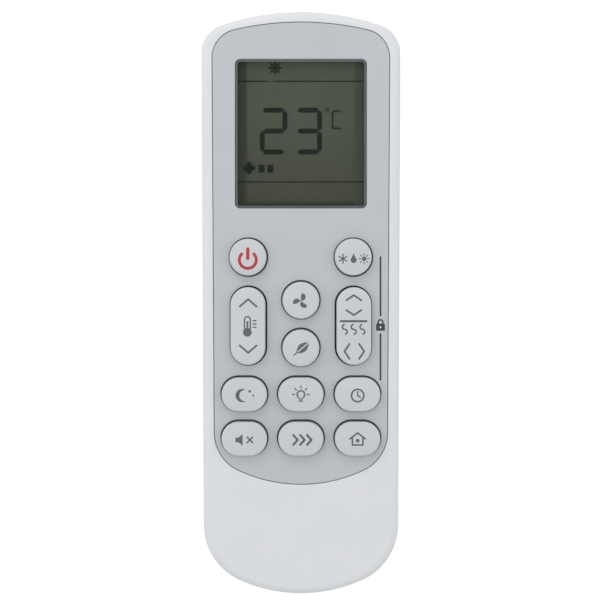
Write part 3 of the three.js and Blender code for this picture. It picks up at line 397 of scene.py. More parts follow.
def grain(tree, place, shader, size, depth, rough):
    """Fine spark-eroded grain: bump of a real size in millimetres, and its change of gloss."""
    noise = add(tree, "ShaderNodeTexNoise", {"Scale": 1 / (size * MM), "Detail": 2.0},
                {"Vector": place})
    bump = add(tree, "ShaderNodeBump", {"Strength": 0.35, "Distance": depth * MM},
               {"Height": noise.outputs["Fac"]})
    tree.links.new(bump.outputs["Normal"], shader.inputs["Normal"])
    spread = add(tree, "ShaderNodeMapRange", {"To Min": rough[0], "To Max": rough[1]},
                 {"Value": noise.outputs["Fac"]})
    tree.links.new(spread.outputs["Result"], shader.inputs["Roughness"])


def moulded(name, dark, light, rough, size=9.0, grit=0.22, depth=0.012, extra=None):
    """An opaque moulded plastic with fine grain."""
    material, tree, shader = surface(name, {"IOR": 1.53, **(extra or {})})
    place = add(tree, "ShaderNodeTexCoord").outputs["Object"]
    tree.links.new(mottle(tree, place, dark, light, size), shader.inputs["Base Color"])
    grain(tree, place, shader, grit, depth, rough)
    return material


# ABS, moulded against a spark-eroded tool: a satin skin with a soft, slightly blue grey-white.
satin_abs = moulded("satin_abs", "#dde0e2", "#dfe1e4", (0.40, 0.52))
# ABS with a fine silver-grey lacquer: a little cooler and darker than the case, very fine sparkle.
lacquered_abs = moulded("lacquered_abs", "#bdc1c6", "#bfc3c8", (0.34, 0.46), grit=0.14, depth=0.006)
# Acrylic, moulded clear and polished: nearly invisible from above, it shows as gloss at a slant.
clear_acrylic = moulded("clear_acrylic", "#16191a", "#1b1e1f", (0.03, 0.07), size=20.0, grit=6.0,
                        depth=0.002, extra={"IOR": 1.49, "Alpha": 0.08})
# The same acrylic on the window's bevel and flange, left satin by the tool: a scattered pale grey.
satin_acrylic = moulded("satin_acrylic", "#8f9496", "#989d9f", (0.25, 0.35), grit=0.12,
                        depth=0.004, extra={"IOR": 1.49, "Alpha": 0.55})
# Moulded ABS of the display's holder: plain, unlacquered.
holder_abs = moulded("holder_abs", "#c3c6c2", "#cbcec9", (0.5, 0.6))
# Silicone rubber, compression moulded: dull, dark grey, with a faint bloom.
silicone = moulded("silicone", "#86898b", "#8f9294", (0.65, 0.8), grit=0.3,
                   extra={"Sheen Weight": 0.1})
# Phenolic paper laminate: brown, with the fibres of the paper showing faintly.
phenolic_laminate = moulded("phenolic_laminate", "#7d5c30", "#8d6c3c", (0.45, 0.6), size=2.0)
# Epoxy moulding compound of chips: near black, fine matt grain.
epoxy = moulded("epoxy", "#1b1c1e", "#232427", (0.45, 0.6), grit=0.1)
# Spring steel, tin plated: bright, with fine drawing marks.
tinned_steel = moulded("tinned_steel", "#b4b7ba", "#c6c9cc", (0.22, 0.34), size=0.8, grit=0.3,
                       depth=0.004, extra={"Metallic": 1.0, "IOR": 1.45})
# Shrink sleeve of a dry cell, PVC over steel: smooth gloss with a slight orange peel.
cell_sleeve = moulded("cell_sleeve", "#34506c", "#3a5876", (0.2, 0.28), grit=0.9, depth=0.01,
                      extra={"Coat Weight": 0.3})
# Water-clear epoxy of the infrared emitter, cast smooth: faintly blue, with a gloss coat.
clear_epoxy = moulded("clear_epoxy", "#c9d1e1", "#d3d9e6", (0.06, 0.12), size=1.5, grit=0.8,
                      depth=0.003, extra={"IOR": 1.54, "Alpha": 0.75, "Coat Weight": 0.5})
# Pad-printed ink: a thin matt film, slate grey for signs, red for the power sign.
slate_ink = moulded("slate_ink", "#55595c", "#5c6063", (0.5, 0.6), grit=0.1, depth=0.002)
dark_ink = moulded("dark_ink", "#2c3033", "#313538", (0.5, 0.6), grit=0.1, depth=0.002)
red_ink = moulded("red_ink", "#ae2d37", "#b5333d", (0.5, 0.6), grit=0.1, depth=0.002)
# Driven liquid-crystal segments: near-black green, as matt as the film that they show through.
driven_segment = moulded("driven_segment", "#262b26", "#2a2f2a", (0.45, 0.55), size=6.0,
                         extra={"Specular IOR Level": 0.0})
# Segments that the controller drives only part of the time: a paler grey-green.
faint_segment = moulded("faint_segment", "#31372d", "#363c32", (0.45, 0.55), size=6.0,
                        extra={"Specular IOR Level": 0.0})


def blended(tree, share, first, second):
    """One colour that turns into another as share goes from 0 to 1."""
    # A Mix node has its sockets by kind: 0 is the share, 6 and 7 take colours, 2 gives the colour.
    mixed = add(tree, "ShaderNodeMix", {"data_type": "RGBA"})
    tree.links.new(share, mixed.inputs[0])
    for socket, tone in ((mixed.inputs[6], first), (mixed.inputs[7], second)):
        if isinstance(tone, str):
            socket.default_value = colour(tone)
        else:
            tree.links.new(tone, socket)
    return mixed.outputs[2]


def rise(tree, place, axis, first, last):
    """A share that goes smoothly from 0 to 1 between two places in millimetres along an axis."""
    across = add(tree, "ShaderNodeSeparateXYZ", links={"Vector": place})
    return add(tree, "ShaderNodeMapRange", {
        "interpolation_type": "SMOOTHSTEP", "From Min": first * MM, "From Max": last * MM},
        {"Value": across.outputs[axis]}).outputs["Result"]


def key_abs_with_painted_wall_shade():
    """Key caps in light grey ABS, with painted shade: their grey darkens down the walls from the
    shoulder to the panel and stays dark below it, for the shade in the gaps round them.
    """
    material, tree, shader = surface("matt_key_abs", {"IOR": 1.53})
    place = add(tree, "ShaderNodeTexCoord").outputs["Object"]
    lacquer = mottle(tree, place, "#c9cccf", "#cccfd1", 9.0)
    shoulder = PANEL_TOP + 1.6
    # Painted shade: the walls are darker grey from the panel's top up to the shoulder, standing in
    # for the shade in the gaps round each key.
    tone = blended(tree, rise(tree, place, "Z", PANEL_TOP, shoulder), "#9b9fa2", lacquer)
    tree.links.new(tone, shader.inputs["Base Color"])
    grain(tree, place, shader, 0.16, 0.006, (0.50, 0.60))
    return material


matt_key_abs = key_abs_with_painted_wall_shade()

FILM = ("#5b6051", "#5e6354")
FILM_LOW = "#52564a"
FILM_LOW_SHARE = 0.66
# Painted shadow: the tones below stand for the window's walls shading the recessed film along its
# left, right and foot edges.
FILM_SHADOW_LEFT = "#454a3f"
FILM_SHADOW_RIGHT = "#53574c"
FILM_SHADOW_FOOT = "#40443a"


def liquid_crystal():
    """Reflective twisted-nematic display: a grey-green film, darker towards the foot, with painted
    shadow of the window's walls along its left, right and foot edges.
    """
    material, tree, shader = surface("liquid_crystal", {
        "Roughness": 0.5, "IOR": 1.5, "Specular IOR Level": 0.0})
    place = add(tree, "ShaderNodeTexCoord").outputs["Object"]
    foot = WINDOW_Y - WINDOW[1] / 2
    tone = mottle(tree, place, *FILM, 14.0)
    # Each band: its axis, where it is darkest, where it has faded out, and its tone. The first
    # darkens the film towards the foot; the other three are painted shadow of the window's walls.
    shade_bands = (("Y", foot, foot + WINDOW[1] * FILM_LOW_SHARE, FILM_LOW),
               ("Y", foot + 0.7, foot + 2.4, FILM_SHADOW_FOOT),
               ("X", 14.5, 13.8, FILM_SHADOW_RIGHT),
               ("X", -14.85, -13.75, FILM_SHADOW_LEFT))
    for axis, darkest, faded, band_tone in shade_bands:
        tone = blended(tree, rise(tree, place, axis, darkest, faded), band_tone, tone)
    tree.links.new(tone, shader.inputs["Base Color"])
    return material


display_film = liquid_crystal()


# ------------------------------------------------------------------ front case and panel

def place_of(key):
    centre = middle("key_" + key)
    return centre.x, centre.y


def key_hole(key):
    return long_loop(KEYS[key], *place_of(key))


def lens_seat():
    return cornered_loop(WINDOW[0] + 2 * LENS_SEAT, WINDOW[1] + 2 * LENS_SEAT,
                         WINDOW[2] + LENS_FLANGE, 0, WINDOW_Y)


def front_case():
    """The upper shell: rounded outside, a recess with a pierced floor, and hollow under it."""
    bm = bmesh.new()
    case = handset_loop(CASE)
    panel = handset_loop(PANEL)
    softened = PARTING_EDGE / 4
    outside = [(RABBET_INSET, PARTING), (PARTING_EDGE, PARTING), (softened, PARTING + softened),
               (0, PARTING + PARTING_EDGE)]
    outside += rounded(DRAFT, FACE - CASE_EDGE, CASE_EDGE, steps=10)
    outside += [(DRAFT + CASE_EDGE + HOLDING, FACE)]
    _, rim = skin(bm, case, outside)
    recess = [(-PANEL_GAP, FLOOR_TOP)]
    recess += rounded(-PANEL_GAP, FACE - RECESS_EDGE, RECESS_EDGE, steps=4, out=True)
    recess += [(-PANEL_GAP - RECESS_EDGE - HOLDING, FACE)]
    recess_floor, recess_rim = skin(bm, panel, recess)
    flat(bm, rim, recess_rim)
    above, below = [], []
    for draw in [key_hole(key) for key in KEYS] + [lens_seat()]:
        under, over = skin(bm, draw, [(0, FLOOR_UNDER), (0, FLOOR_TOP)])
        above.append(over)
        below.append(under)
    flat(bm, recess_floor, *above)
    inside = [(RABBET_INSET, PARTING), (RABBET_INSET, PARTING + RABBET_HEIGHT),
              (WALL, PARTING + RABBET_HEIGHT), (WALL + DRAFT, FLOOR_UNDER - CEILING_TAPER),
              (WALL + DRAFT + CEILING_TAPER, FLOOR_UNDER)]
    _, ceiling = skin(bm, case, inside)
    flat(bm, ceiling, *below)
    piece = finish_piece(bm, "front_case_shell", "handset", satin_abs,
                         ["front_case"])
    cut_round(piece, PORT_RADIUS, (0, CASE["top"], PORT_HEIGHT), PORT_DEPTH)


def face_panel():
    """The inset plate: thin, flat, with crisp softened edges at its rim, window and key holes."""
    bm = bmesh.new()
    rim = [(PANEL_GAP, PANEL_UNDER)]
    rim += rounded(PANEL_GAP, PANEL_TOP - PANEL_EDGE, PANEL_EDGE, steps=4)
    rim += [(PANEL_GAP + PANEL_EDGE + HOLDING, PANEL_TOP)]
    under, over = skin(bm, handset_loop(PANEL), rim)
    above, below = [over], [under]
    holes = [(key_hole(key), KEY_HOLE_EDGE) for key in KEYS]
    holes += [(cornered_loop(*WINDOW, 0, WINDOW_Y), WINDOW_EDGE)]
    for draw, edge in holes:
        wall = [(0, PANEL_UNDER)] + rounded(0, PANEL_TOP - edge, edge, steps=4, out=True)
        wall += [(-edge - HOLDING, PANEL_TOP)]
        under, over = skin(bm, draw, wall)
        above.append(over)
        below.append(under)
    flat(bm, *above)
    flat(bm, *below)
    return finish_piece(bm, "face_panel_plate", "handset", lacquered_abs,
                        ["face_panel"])


def display_lens():
    """The clear window: a flange held under the panel and a raised middle with a satin bevel."""
    bm = bmesh.new()
    shelf = LENS_UNDER + LENS_FLANGE_THICKNESS
    brim = cornered_loop(WINDOW[0] + 2 * LENS_FLANGE, WINDOW[1] + 2 * LENS_FLANGE,
                         WINDOW[2] + LENS_FLANGE, 0, WINDOW_Y)
    under, lip = skin(bm, brim, [(0, LENS_UNDER), (0, shelf)])
    foot, top = skin(bm, cornered_loop(*WINDOW, 0, WINDOW_Y), [
        (LENS_GAP, shelf), (LENS_GAP, LENS_TOP - LENS_BEVEL), (LENS_GAP + LENS_BEVEL, LENS_TOP),
        (LENS_GAP + LENS_BEVEL + HOLDING, LENS_TOP)])
    flat(bm, under)
    flat(bm, lip, foot)
    flat(bm, top)
    piece = finish_piece(bm, "display_lens_window", "handset", clear_acrylic,
                         ["display_lens"])
    piece.data.materials.append(satin_acrylic)
    for face in piece.data.polygons:
        if (shelf - TOUCH) * MM < face.center.z < (LENS_TOP - TOUCH) * MM:
            face.material_index = 1


# ------------------------------------------------------------------ keys

def crown(size, highest_z):
    """Levels of a key's rounded edge and of its gentle dome, from its wall to its middle."""
    wall = KEY_GAP + KEY_DRAFT
    top = highest_z - INK - INK_LIFT
    rim = top - KEY_CROWN
    levels = rounded(wall, rim - KEY_EDGE, KEY_EDGE, sweep=KEY_EDGE_SWEEP, steps=8)
    begin, height = levels[-1]
    end = min(size) / 2 - CROWN_FLAT
    for i in range(1, CROWN_STEPS + 1):
        share = i / CROWN_STEPS
        levels.append((begin + (end - begin) * share,
                       height + (top - height) * (1 - (1 - share) ** 2)))
    return levels


def press_key(key):
    """A key that goes straight down: a flange that holds it in, a drafted wall and its crown."""
    node = "key_" + key
    bm = bmesh.new()
    low = lowest(node).z
    draw = key_hole(key)
    shelf = low + KEY_FLANGE_THICKNESS
    levels = [(-KEY_FLANGE, low), (-KEY_FLANGE, shelf), (KEY_GAP, shelf)]
    under, over = skin(bm, draw, levels + crown(KEYS[key], highest(node).z))
    flat(bm, under)
    flat(bm, over)
    return finish_cap(bm, key)


def finish_cap(bm, key):
    """Lets a cap lie off the middle of its hole, by its play, and finishes it."""
    bmesh.ops.translate(bm, verts=bm.verts, vec=(*PLAY[key], 0))
    node = "key_" + key
    return finish_piece(bm, node + "_cap", key_body(key), matt_key_abs, [node])


def rocker_key(key):
    """A long key that tilts on a round pin at each side."""
    node = "key_" + key
    bm = bmesh.new()
    low = lowest(node)
    high = highest(node)
    under, over = skin(bm, key_hole(key), [(KEY_GAP, low.z)] + crown(KEYS[key], high.z))
    flat(bm, under)
    flat(bm, over)
    x, y = place_of(key)
    reach = (high.x - low.x) / 2
    for side in (-1, 1):
        bmesh.ops.create_cone(
            bm, cap_ends=True, segments=24, radius1=PIN_RADIUS, radius2=PIN_RADIUS,
            depth=PIN_LENGTH,
            matrix=Matrix.Translation((x + side * (reach - PIN_LENGTH / 2), y, low.z + PIN_RISE))
            @ Matrix.Rotation(math.pi / 2, 4, "Y"))
    return finish_cap(bm, key)


# ------------------------------------------------------------------ printed signs

def line(bm, a, b, width):
    """A straight stroke with round ends."""
    a, b = Vector((*a, 0)), Vector((*b, 0))
    across = Vector((a.y - b.y, b.x - a.x, 0)).normalized() * width / 2
    bmesh.ops.contextual_create(
        bm, geom=[bm.verts.new(p) for p in (a + across, a - across, b - across, b + across)])
    for end in (a, b):
        disc(bm, end, width / 2)


def disc(bm, centre, radius):
    bmesh.ops.create_circle(bm, cap_ends=True, segments=16, radius=radius,
                            matrix=Matrix.Translation((centre[0], centre[1], 0)))


def bend(bm, centre, radius, width, begin, end):
    """A curved stroke: a short edge spun about a centre. Angles are in degrees."""
    start = Vector((math.cos(math.radians(begin)), math.sin(math.radians(begin)), 0))
    at = Vector((*centre, 0))
    inner, outer = (bm.verts.new(at + start * r) for r in (radius - width / 2, radius + width / 2))
    edge = bm.edges.new((inner, outer))
    bmesh.ops.spin(bm, geom=[inner, outer, edge], cent=at, axis=(0, 0, 1),
                   angle=math.radians(end - begin), steps=max(6, round(abs(end - begin) / 9)),
                   use_duplicate=False, use_merge=abs(end - begin) >= 360)


def outline(bm, points):
    """A closed chain of straight edges."""
    chain = [bm.verts.new((*p, 0)) for p in points]
    return [bm.edges.new(pair) for pair in zip(chain, chain[1:] + chain[:1])]


def patch(bm, *points):
    """A filled shape with straight sides."""
    flat(bm, outline(bm, points))


def ray(degrees, length=1.0):
    """A point at an angle and a distance."""
    return Vector((math.cos(math.radians(degrees)), math.sin(math.radians(degrees)))) * length


def zigzag(bm, points, width):
    """Straight strokes from point to point."""
    for a, b in zip(points, points[1:]):
        line(bm, a, b, width)


def cut_grid(bm, spacing):
    """Cuts a flat sign along a square grid, so that it can bend."""
    low = [min(v.co[i] for v in bm.verts) for i in (0, 1)]
    high = [max(v.co[i] for v in bm.verts) for i in (0, 1)]
    for i in (0, 1):
        normal = Vector((0, 0, 0))
        normal[i] = 1
        at = low[i] + spacing
        while at < high[i]:
            everything = bm.verts[:] + bm.edges[:] + bm.faces[:]
            bmesh.ops.bisect_plane(bm, geom=everything, plane_co=normal * at, plane_no=normal)
            at += spacing


def thicken(bm):
    """Gives a film its thickness."""
    grown = bmesh.ops.extrude_face_region(bm, geom=bm.faces[:], use_keep_orig=True)["geom"]
    bmesh.ops.translate(bm, verts=[v for v in grown if isinstance(v, bmesh.types.BMVert)],
                        vec=(0, 0, INK))


def print_on(bm, name, body, ink, carrier, x, y, curved=True):
    """Lays a flat sign on the piece that carries it, as a thin film that follows its crown."""
    bmesh.ops.translate(bm, verts=bm.verts, vec=(x, y, 0))
    if curved:
        cut_grid(bm, DRAPE)
    tree = BVHTree.FromObject(carrier, bpy.context.evaluated_depsgraph_get())
    for vert in bm.verts:
        above = Vector((vert.co.x, vert.co.y, ABOVE_ALL)) * MM
        hit = tree.ray_cast(above, Vector((0, 0, -1)))[0]
        vert.co.z = hit.z / MM + INK_LIFT
    thicken(bm)
    finish_piece(bm, name, body, ink, weld=False)


# Each sign is drawn in millimetres about its own middle, and scaled when it is printed.
ARROW_STROKE = 0.48


def power_sign(bm):
    bend(bm, (0, -0.05), 2.22, 0.78, 128, 412)
    line(bm, (0, 0.35), (0, 2.8), 0.88)


def mode_sign(bm):
    """Three modes side by side: cold, dry and warm."""
    for turn in (30, 90, 150):
        line(bm, Vector((-2.9, 0)) - ray(turn, 1.25), Vector((-2.9, 0)) + ray(turn, 1.25), 0.32)
    patch(bm, (0, 1.45), (-0.66, 0.1), (0.66, 0.1))
    disc(bm, (0, -0.35), 0.82)
    disc(bm, (2.9, 0), 0.62)
    for turn in range(0, 360, 45):
        line(bm, Vector((2.9, 0)) + ray(turn, 1.0), Vector((2.9, 0)) + ray(turn, 1.35), 0.28)


def fan_sign(bm):
    """Three swept blades."""
    steps = 14
    for turn in (0, 120, 240):
        swell = [math.sin(math.pi * i / steps) ** 0.6 for i in range(steps + 1)]
        patch(bm, *[ray(turn + 80 * i / steps + 32 * grown, 0.15 + 1.7 * grown)
                    for i, grown in enumerate(swell)])


def eco_sign(bm):
    """A leaf in two halves beside its rib, with its stalk."""
    steps = 10
    for side in (-1, 1):
        rim = [(1.9 * i / steps * 2 - 1.5, side * (0.14 + 0.9 * math.sin(math.pi * i / steps)))
               for i in range(steps + 1)]
        patch(bm, *[(0.766 * x - 0.643 * y, 0.643 * x + 0.766 * y) for x, y in rim])
    line(bm, ray(220, 2.35), ray(220, 1.35), 0.28)


def temp_sign(bm):
    """A thermometer between the two arrows."""
    disc(bm, (0, -1.35), 1.0)
    line(bm, (0, -1.2), (0, 1.0), 0.44)
    bend(bm, (0, 1.55), 0.66, 0.32, 0, 180)
    line(bm, (-0.66, 1.55), (-0.66, -0.7), 0.32)
    line(bm, (0.66, 1.55), (0.66, -0.7), 0.32)
    for y in (1.3, 0.55, -0.2):
        line(bm, (1.3, y), (1.95, y), 0.3)


def swing_sign(bm):
    """An air outlet over three streams of air."""
    line(bm, (-2.9, 1.35), (2.9, 1.35), 0.5)
    for x in (-2.0, 0, 2.0):
        bend(bm, (x, 0.05), 0.55, 0.34, 90, 270)
        bend(bm, (x, -1.05), 0.55, 0.34, 90, -90)


def sleep_sign(bm):
    """A crescent moon and two stars."""
    steps = 14
    outer = [ray(60 + 240 * i / steps, 1.35) for i in range(steps + 1)]
    inner = [Vector((0.55, 0)) + ray(272 - 184 * i / steps, 1.15) for i in range(1, steps)]
    patch(bm, *(outer + inner))
    disc(bm, (1.5, 0.85), 0.26)
    disc(bm, (2.2, 0.0), 0.2)


def display_sign(bm):
    """A lit lamp: bulb, base and rays."""
    bend(bm, (0, 0.25), 0.85, 0.34, -55, 235)
    line(bm, (-0.42, -0.75), (0.42, -0.75), 0.3)
    line(bm, (-0.36, -1.25), (0.36, -1.25), 0.3)
    for turn in (0, 45, 90, 135, 180):
        line(bm, Vector((0, 0.25)) + ray(turn, 1.45), Vector((0, 0.25)) + ray(turn, 1.9), 0.28)


def timer_sign(bm):
    """A clock face with two hands."""
    bend(bm, (0, 0), 1.35, 0.36, 0, 360)
    line(bm, (0, 0), (0, 0.85), 0.3)
    line(bm, (0, 0), (0.62, -0.35), 0.3)


def mute_sign(bm):
    """A loudspeaker and a cross."""
    patch(bm, (-1.9, 0.5), (-1.25, 0.5), (-0.35, 1.25), (-0.35, -1.25), (-1.25, -0.5), (-1.9, -0.5))
    line(bm, (0.65, 0.6), (1.85, -0.6), 0.32)
    line(bm, (0.65, -0.6), (1.85, 0.6), 0.32)


def turbo_sign(bm):
    """Three arrowheads in a row."""
    for x in (-1.9, -0.4, 1.1):
        zigzag(bm, [(x, 1.05), (x + 0.95, 0), (x, -1.05)], ARROW_STROKE)


def room_sensor_sign(bm):
    """A house with a sensing point."""
    zigzag(bm, [(-1.75, 0.15), (0, 1.5), (1.75, 0.15)], 0.36)
    zigzag(bm, [(-1.2, 0.35), (-1.2, -1.25), (1.2, -1.25), (1.2, 0.35)], 0.34)
    disc(bm, (0, -0.25), 0.42)


def chevron(bm, x, y, dx, dy, turn):
    """An open arrowhead of width 2 dx and height dy that points up, left, down or right."""
    points = [(-dx, -dy / 2), (0, dy / 2), (dx, -dy / 2)]
    c, s = math.cos(math.radians(turn)), math.sin(math.radians(turn))
    zigzag(bm, [(x + px * c - py * s, y + px * s + py * c) for px, py in points], ARROW_STROKE)


# Signs: the key, what draws it, its scale, and the middle of the sign from the middle of the key.
SIGNS = [
    ("power", power_sign, 1.0, -0.1, -0.65),
    ("mode", mode_sign, 0.96, 0.0, -0.4),
    ("fan", fan_sign, 1.15, 0.0, -0.3),
    ("eco", eco_sign, 1.1, 0.1, -0.3),
    ("temp", temp_sign, 1.15, -0.2, -0.1),
    ("swing", swing_sign, 1.15, 0.0, -0.3),
    ("sleep", sleep_sign, 1.3, -0.5, -0.3),
    ("display", display_sign, 1.15, 0.0, -0.3),
    ("timer", timer_sign, 1.2, 0.0, -0.3),
    ("mute", mute_sign, 1.2, 0.0, -0.3),
    ("turbo", turbo_sign, 1.2, 0.3, -0.3),
    ("room_sensor", room_sensor_sign, 1.15, 0.0, -0.2),
]


def print_signs(caps):
    for key, draw, scale, dx, dy in SIGNS:
        x, y = place_of(key)
        bm = bmesh.new()
        draw(bm)
        bmesh.ops.scale(bm, verts=bm.verts, vec=(scale, scale, 1))
        print_on(bm, "sign_" + key, key_body(key),
                 red_ink if key == "power" else slate_ink, caps[key], x + dx, y + dy)
    x, y = place_of("temp")
    bm = bmesh.new()
    chevron(bm, 0, 6.05, 2.2, 1.9, 0)
    chevron(bm, 0, -6.05, 2.2, 1.9, 180)
    print_on(bm, "arrows_temp", key_body("temp"), slate_ink, caps["temp"], x, y)
    x, y = place_of("swing")
    bm = bmesh.new()
    chevron(bm, 0.05, 7.4, 1.95, 1.3, 0)
    chevron(bm, 0.05, 3.5, 1.95, 1.3, 180)
    chevron(bm, -1.75, -6.65, 1.95, 1.3, 90)
    chevron(bm, 2.1, -6.65, 1.95, 1.3, -90)
    print_on(bm, "arrows_swing", key_body("swing"), slate_ink, caps["swing"], x, y)


LOCK_X = 20.95
LOCK_LINES = ((12.0, -3.3), (-8.3, -20.2))
LOCK_LINE_STROKE = 0.46
LOCK_FOOT = -7.35
LOCK_BODY = (2.3, 1.85)
KEYHOLE_RADIUS = 0.3
SHACKLE_RADIUS = 0.62
SHACKLE_RISE = 0.4
SHACKLE_STROKE = 0.38


def print_lock(plate):
    """A padlock between two long lines, on the panel beside the right-hand keys."""
    bm = bmesh.new()
    for upper, lower in LOCK_LINES:
        line(bm, (0, upper), (0, lower), LOCK_LINE_STROKE)
    print_on(bm, "lock_lines", "handset", dark_ink, plate, LOCK_X, 0,
             curved=False)
    bm = bmesh.new()
    half, top = LOCK_BODY[0] / 2, LOCK_FOOT + LOCK_BODY[1]
    keyhole = bmesh.ops.create_circle(
        bm, segments=12, radius=KEYHOLE_RADIUS,
        matrix=Matrix.Translation((0, LOCK_FOOT + LOCK_BODY[1] / 2, 0)))["verts"]
    keyhole = list({edge for vert in keyhole for edge in vert.link_edges})
    flat(bm, outline(bm, [(-half, LOCK_FOOT), (half, LOCK_FOOT), (half, top), (-half, top)]),
         keyhole)
    bend(bm, (0, top + SHACKLE_RISE), SHACKLE_RADIUS, SHACKLE_STROKE, 0, 180)
    for x in (-SHACKLE_RADIUS, SHACKLE_RADIUS):
        line(bm, (x, top), (x, top + SHACKLE_RISE), SHACKLE_STROKE)
    print_on(bm, "lock_sign", "handset", dark_ink, plate, LOCK_X, 0,
             curved=False)


# ------------------------------------------------------------------ display

# Places on the display are named in pixels of the photo. The eye is over this pixel.
PIXEL = 0.2653
EYE_PIXEL = (300.4, 250)
EYE_Y = 13.73

DIGIT_SIZE = (22.6, 41.7)
DIGIT_PLACES = ((273.15, 130.8), (307.7, 130.8))
DIGIT_SEGMENTS = (("top", "upper_right", "middle", "lower_left", "foot"),
                  ("top", "upper_right", "middle", "lower_right", "foot"))
SEGMENT_STROKE = 1.34
SEGMENT_GAP = 0.09
RULES = ((81.2, 236, 268), (81.2, 272, 365), (181.5, 236, 365))  # height, left and right end
RULE_HALF = 0.65
SPEED_BARS = (258.1, 267.0)
SPEED_BAR_WIDTH = 6.1
SPEED_BAR_TOP = 164.2
SPEED_BAR_FOOT = 172.2
SNOWFLAKE = (274.7, 68)
FAN_SIGN = (248.8, 167.6)
DEGREE = (326.6, 109.4)
UNIT_UPPER_LEFT = (331.9, 111.0)
UNIT_LOWER_RIGHT = (339.8, 128.2)


def at_pixel(px, py):
    """A place on the display in millimetres."""
    return (px - EYE_PIXEL[0]) * PIXEL, EYE_Y + (EYE_PIXEL[1] - py) * PIXEL


def segment(bm, a, b, width):
    """A straight segment with pointed ends."""
    a, b = Vector(a), Vector(b)
    along = (b - a).normalized()
    across = Vector((-along.y, along.x)) * width / 2
    tip = along * width / 2
    patch(bm, a, a + tip + across, b - tip + across, b, b - tip - across, a + tip - across)


def digit(bm, x, y, lit):
    """A seven-segment digit about its middle; lit names its segments."""
    half = DIGIT_SIZE[0] * PIXEL / 2
    up = DIGIT_SIZE[1] * PIXEL / 2
    ends = {
        "top": ((-half, up), (half, up)), "middle": ((-half, 0), (half, 0)),
        "foot": ((-half, -up), (half, -up)), "upper_left": ((-half, 0), (-half, up)),
        "upper_right": ((half, 0), (half, up)), "lower_left": ((-half, -up), (-half, 0)),
        "lower_right": ((half, -up), (half, 0)),
    }
    for name in lit:
        a, b = (Vector((x + dx, y + dy)) for dx, dy in ends[name])
        along = (b - a).normalized() * SEGMENT_GAP
        segment(bm, a + along, b - along, SEGMENT_STROKE)


def bar(bm, upper_left, lower_right):
    """An upright rectangle between two corners in pixels."""
    x0, y0 = at_pixel(*upper_left)
    x1, y1 = at_pixel(*lower_right)
    patch(bm, (x0, y0), (x0, y1), (x1, y1), (x1, y0))


def display_marks():
    """What the display shows: 23 degrees, cooling, the fan at its second speed."""
    bm = bmesh.new()
    for place, lit in zip(DIGIT_PLACES, DIGIT_SEGMENTS):
        digit(bm, *at_pixel(*place), lit)
    for left in SPEED_BARS:
        bar(bm, (left, SPEED_BAR_TOP), (left + SPEED_BAR_WIDTH, SPEED_BAR_FOOT))
    for py, first, last in RULES:
        bar(bm, (first, py - RULE_HALF), (last, py + RULE_HALF))
    snow = Vector(at_pixel(*SNOWFLAKE))
    for turn in range(0, 180, 45):
        line(bm, snow - ray(turn, 1.85), snow + ray(turn, 1.85), 0.3)
    bend(bm, snow, 1.1, 0.26, 0, 360)
    blades = Vector(at_pixel(*FAN_SIGN))
    disc(bm, blades, 0.5)
    for turn in range(0, 360, 90):
        disc(bm, blades + ray(turn, 0.98), 0.72)
    lay_in_glass(bm, "display_marks", driven_segment)
    bm = bmesh.new()
    bend(bm, at_pixel(*DEGREE), 0.42, 0.3, 0, 360)
    left, top = at_pixel(*UNIT_UPPER_LEFT)
    right, foot = at_pixel(*UNIT_LOWER_RIGHT)
    zigzag(bm, [(right, top), (left + 0.4, top), (left, top - 0.5), (left, foot + 0.5),
                (left + 0.4, foot), (right, foot)], 0.5)
    lay_in_glass(bm, "display_unit", faint_segment)


def lay_in_glass(bm, name, material):
    """Lays segments on the display's glass."""
    for vert in bm.verts:
        vert.co.z = GLASS_TOP + INK_LIFT
    thicken(bm)
    finish_piece(bm, name, "handset", material, weld=False)


# ------------------------------------------------------------------ back, cells and springs

def dry_cell(node):
    """A cell: steel can in its sleeve, a stepped shoulder and the nub at the positive end."""
    low, high = lowest(node), highest(node)
    radius = (high.x - low.x) / 2
    length = high.y - low.y
    nub_up = node == "battery_left"
    x, z = (low.x + high.x) / 2, (low.z + high.z) / 2
    sleeve = [(0, 0.02), (radius - 1.1, 0.02), (radius - 0.8, 0.2), (radius - 0.12, 0.2),
              (radius, 0.34), (radius, length - 1.2), (radius - 0.14, length - 1.05),
              (radius - 0.8, length - 1.05), (radius - 0.85, length - 1.1), (0, length - 1.1)]
    steel = [(0, length - 1.12), (radius - 0.9, length - 1.12), (radius - 1.1, length - 0.92),
             (2.1, length - 0.9), (1.9, length - 0.8), (1.9, length - 0.25), (1.65, length),
             (0, length)]
    for name, profile, slot, material in (
            (node + "_sleeve", sleeve, "cell_sleeve", cell_sleeve),
            (node + "_nub", steel, "tinned_steel", tinned_steel)):
        bm = bmesh.new()
        chain = [bm.verts.new((r, 0, h)) for r, h in profile]
        edges = [bm.edges.new(pair) for pair in zip(chain, chain[1:])]
        bmesh.ops.spin(bm, geom=chain + edges, cent=(0, 0, 0), axis=(0, 0, 1),
                       angle=2 * math.pi, steps=ROUND_STEPS, use_merge=True,
                       use_duplicate=False)
        turn = Matrix.Rotation(-math.pi / 2 if nub_up else math.pi / 2, 4, "X")
        foot = low.y if nub_up else high.y
        bmesh.ops.transform(bm, matrix=Matrix.Translation((x, foot, z)) @ turn, verts=bm.verts)
        finish_piece(bm, name, "handset", material)
    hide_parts(node)


SPRING_TURNS = 3
SPRING_BASE_RADIUS = 3.7
SPRING_TIP_RADIUS = 2.4
WIRE_RADIUS = 0.25


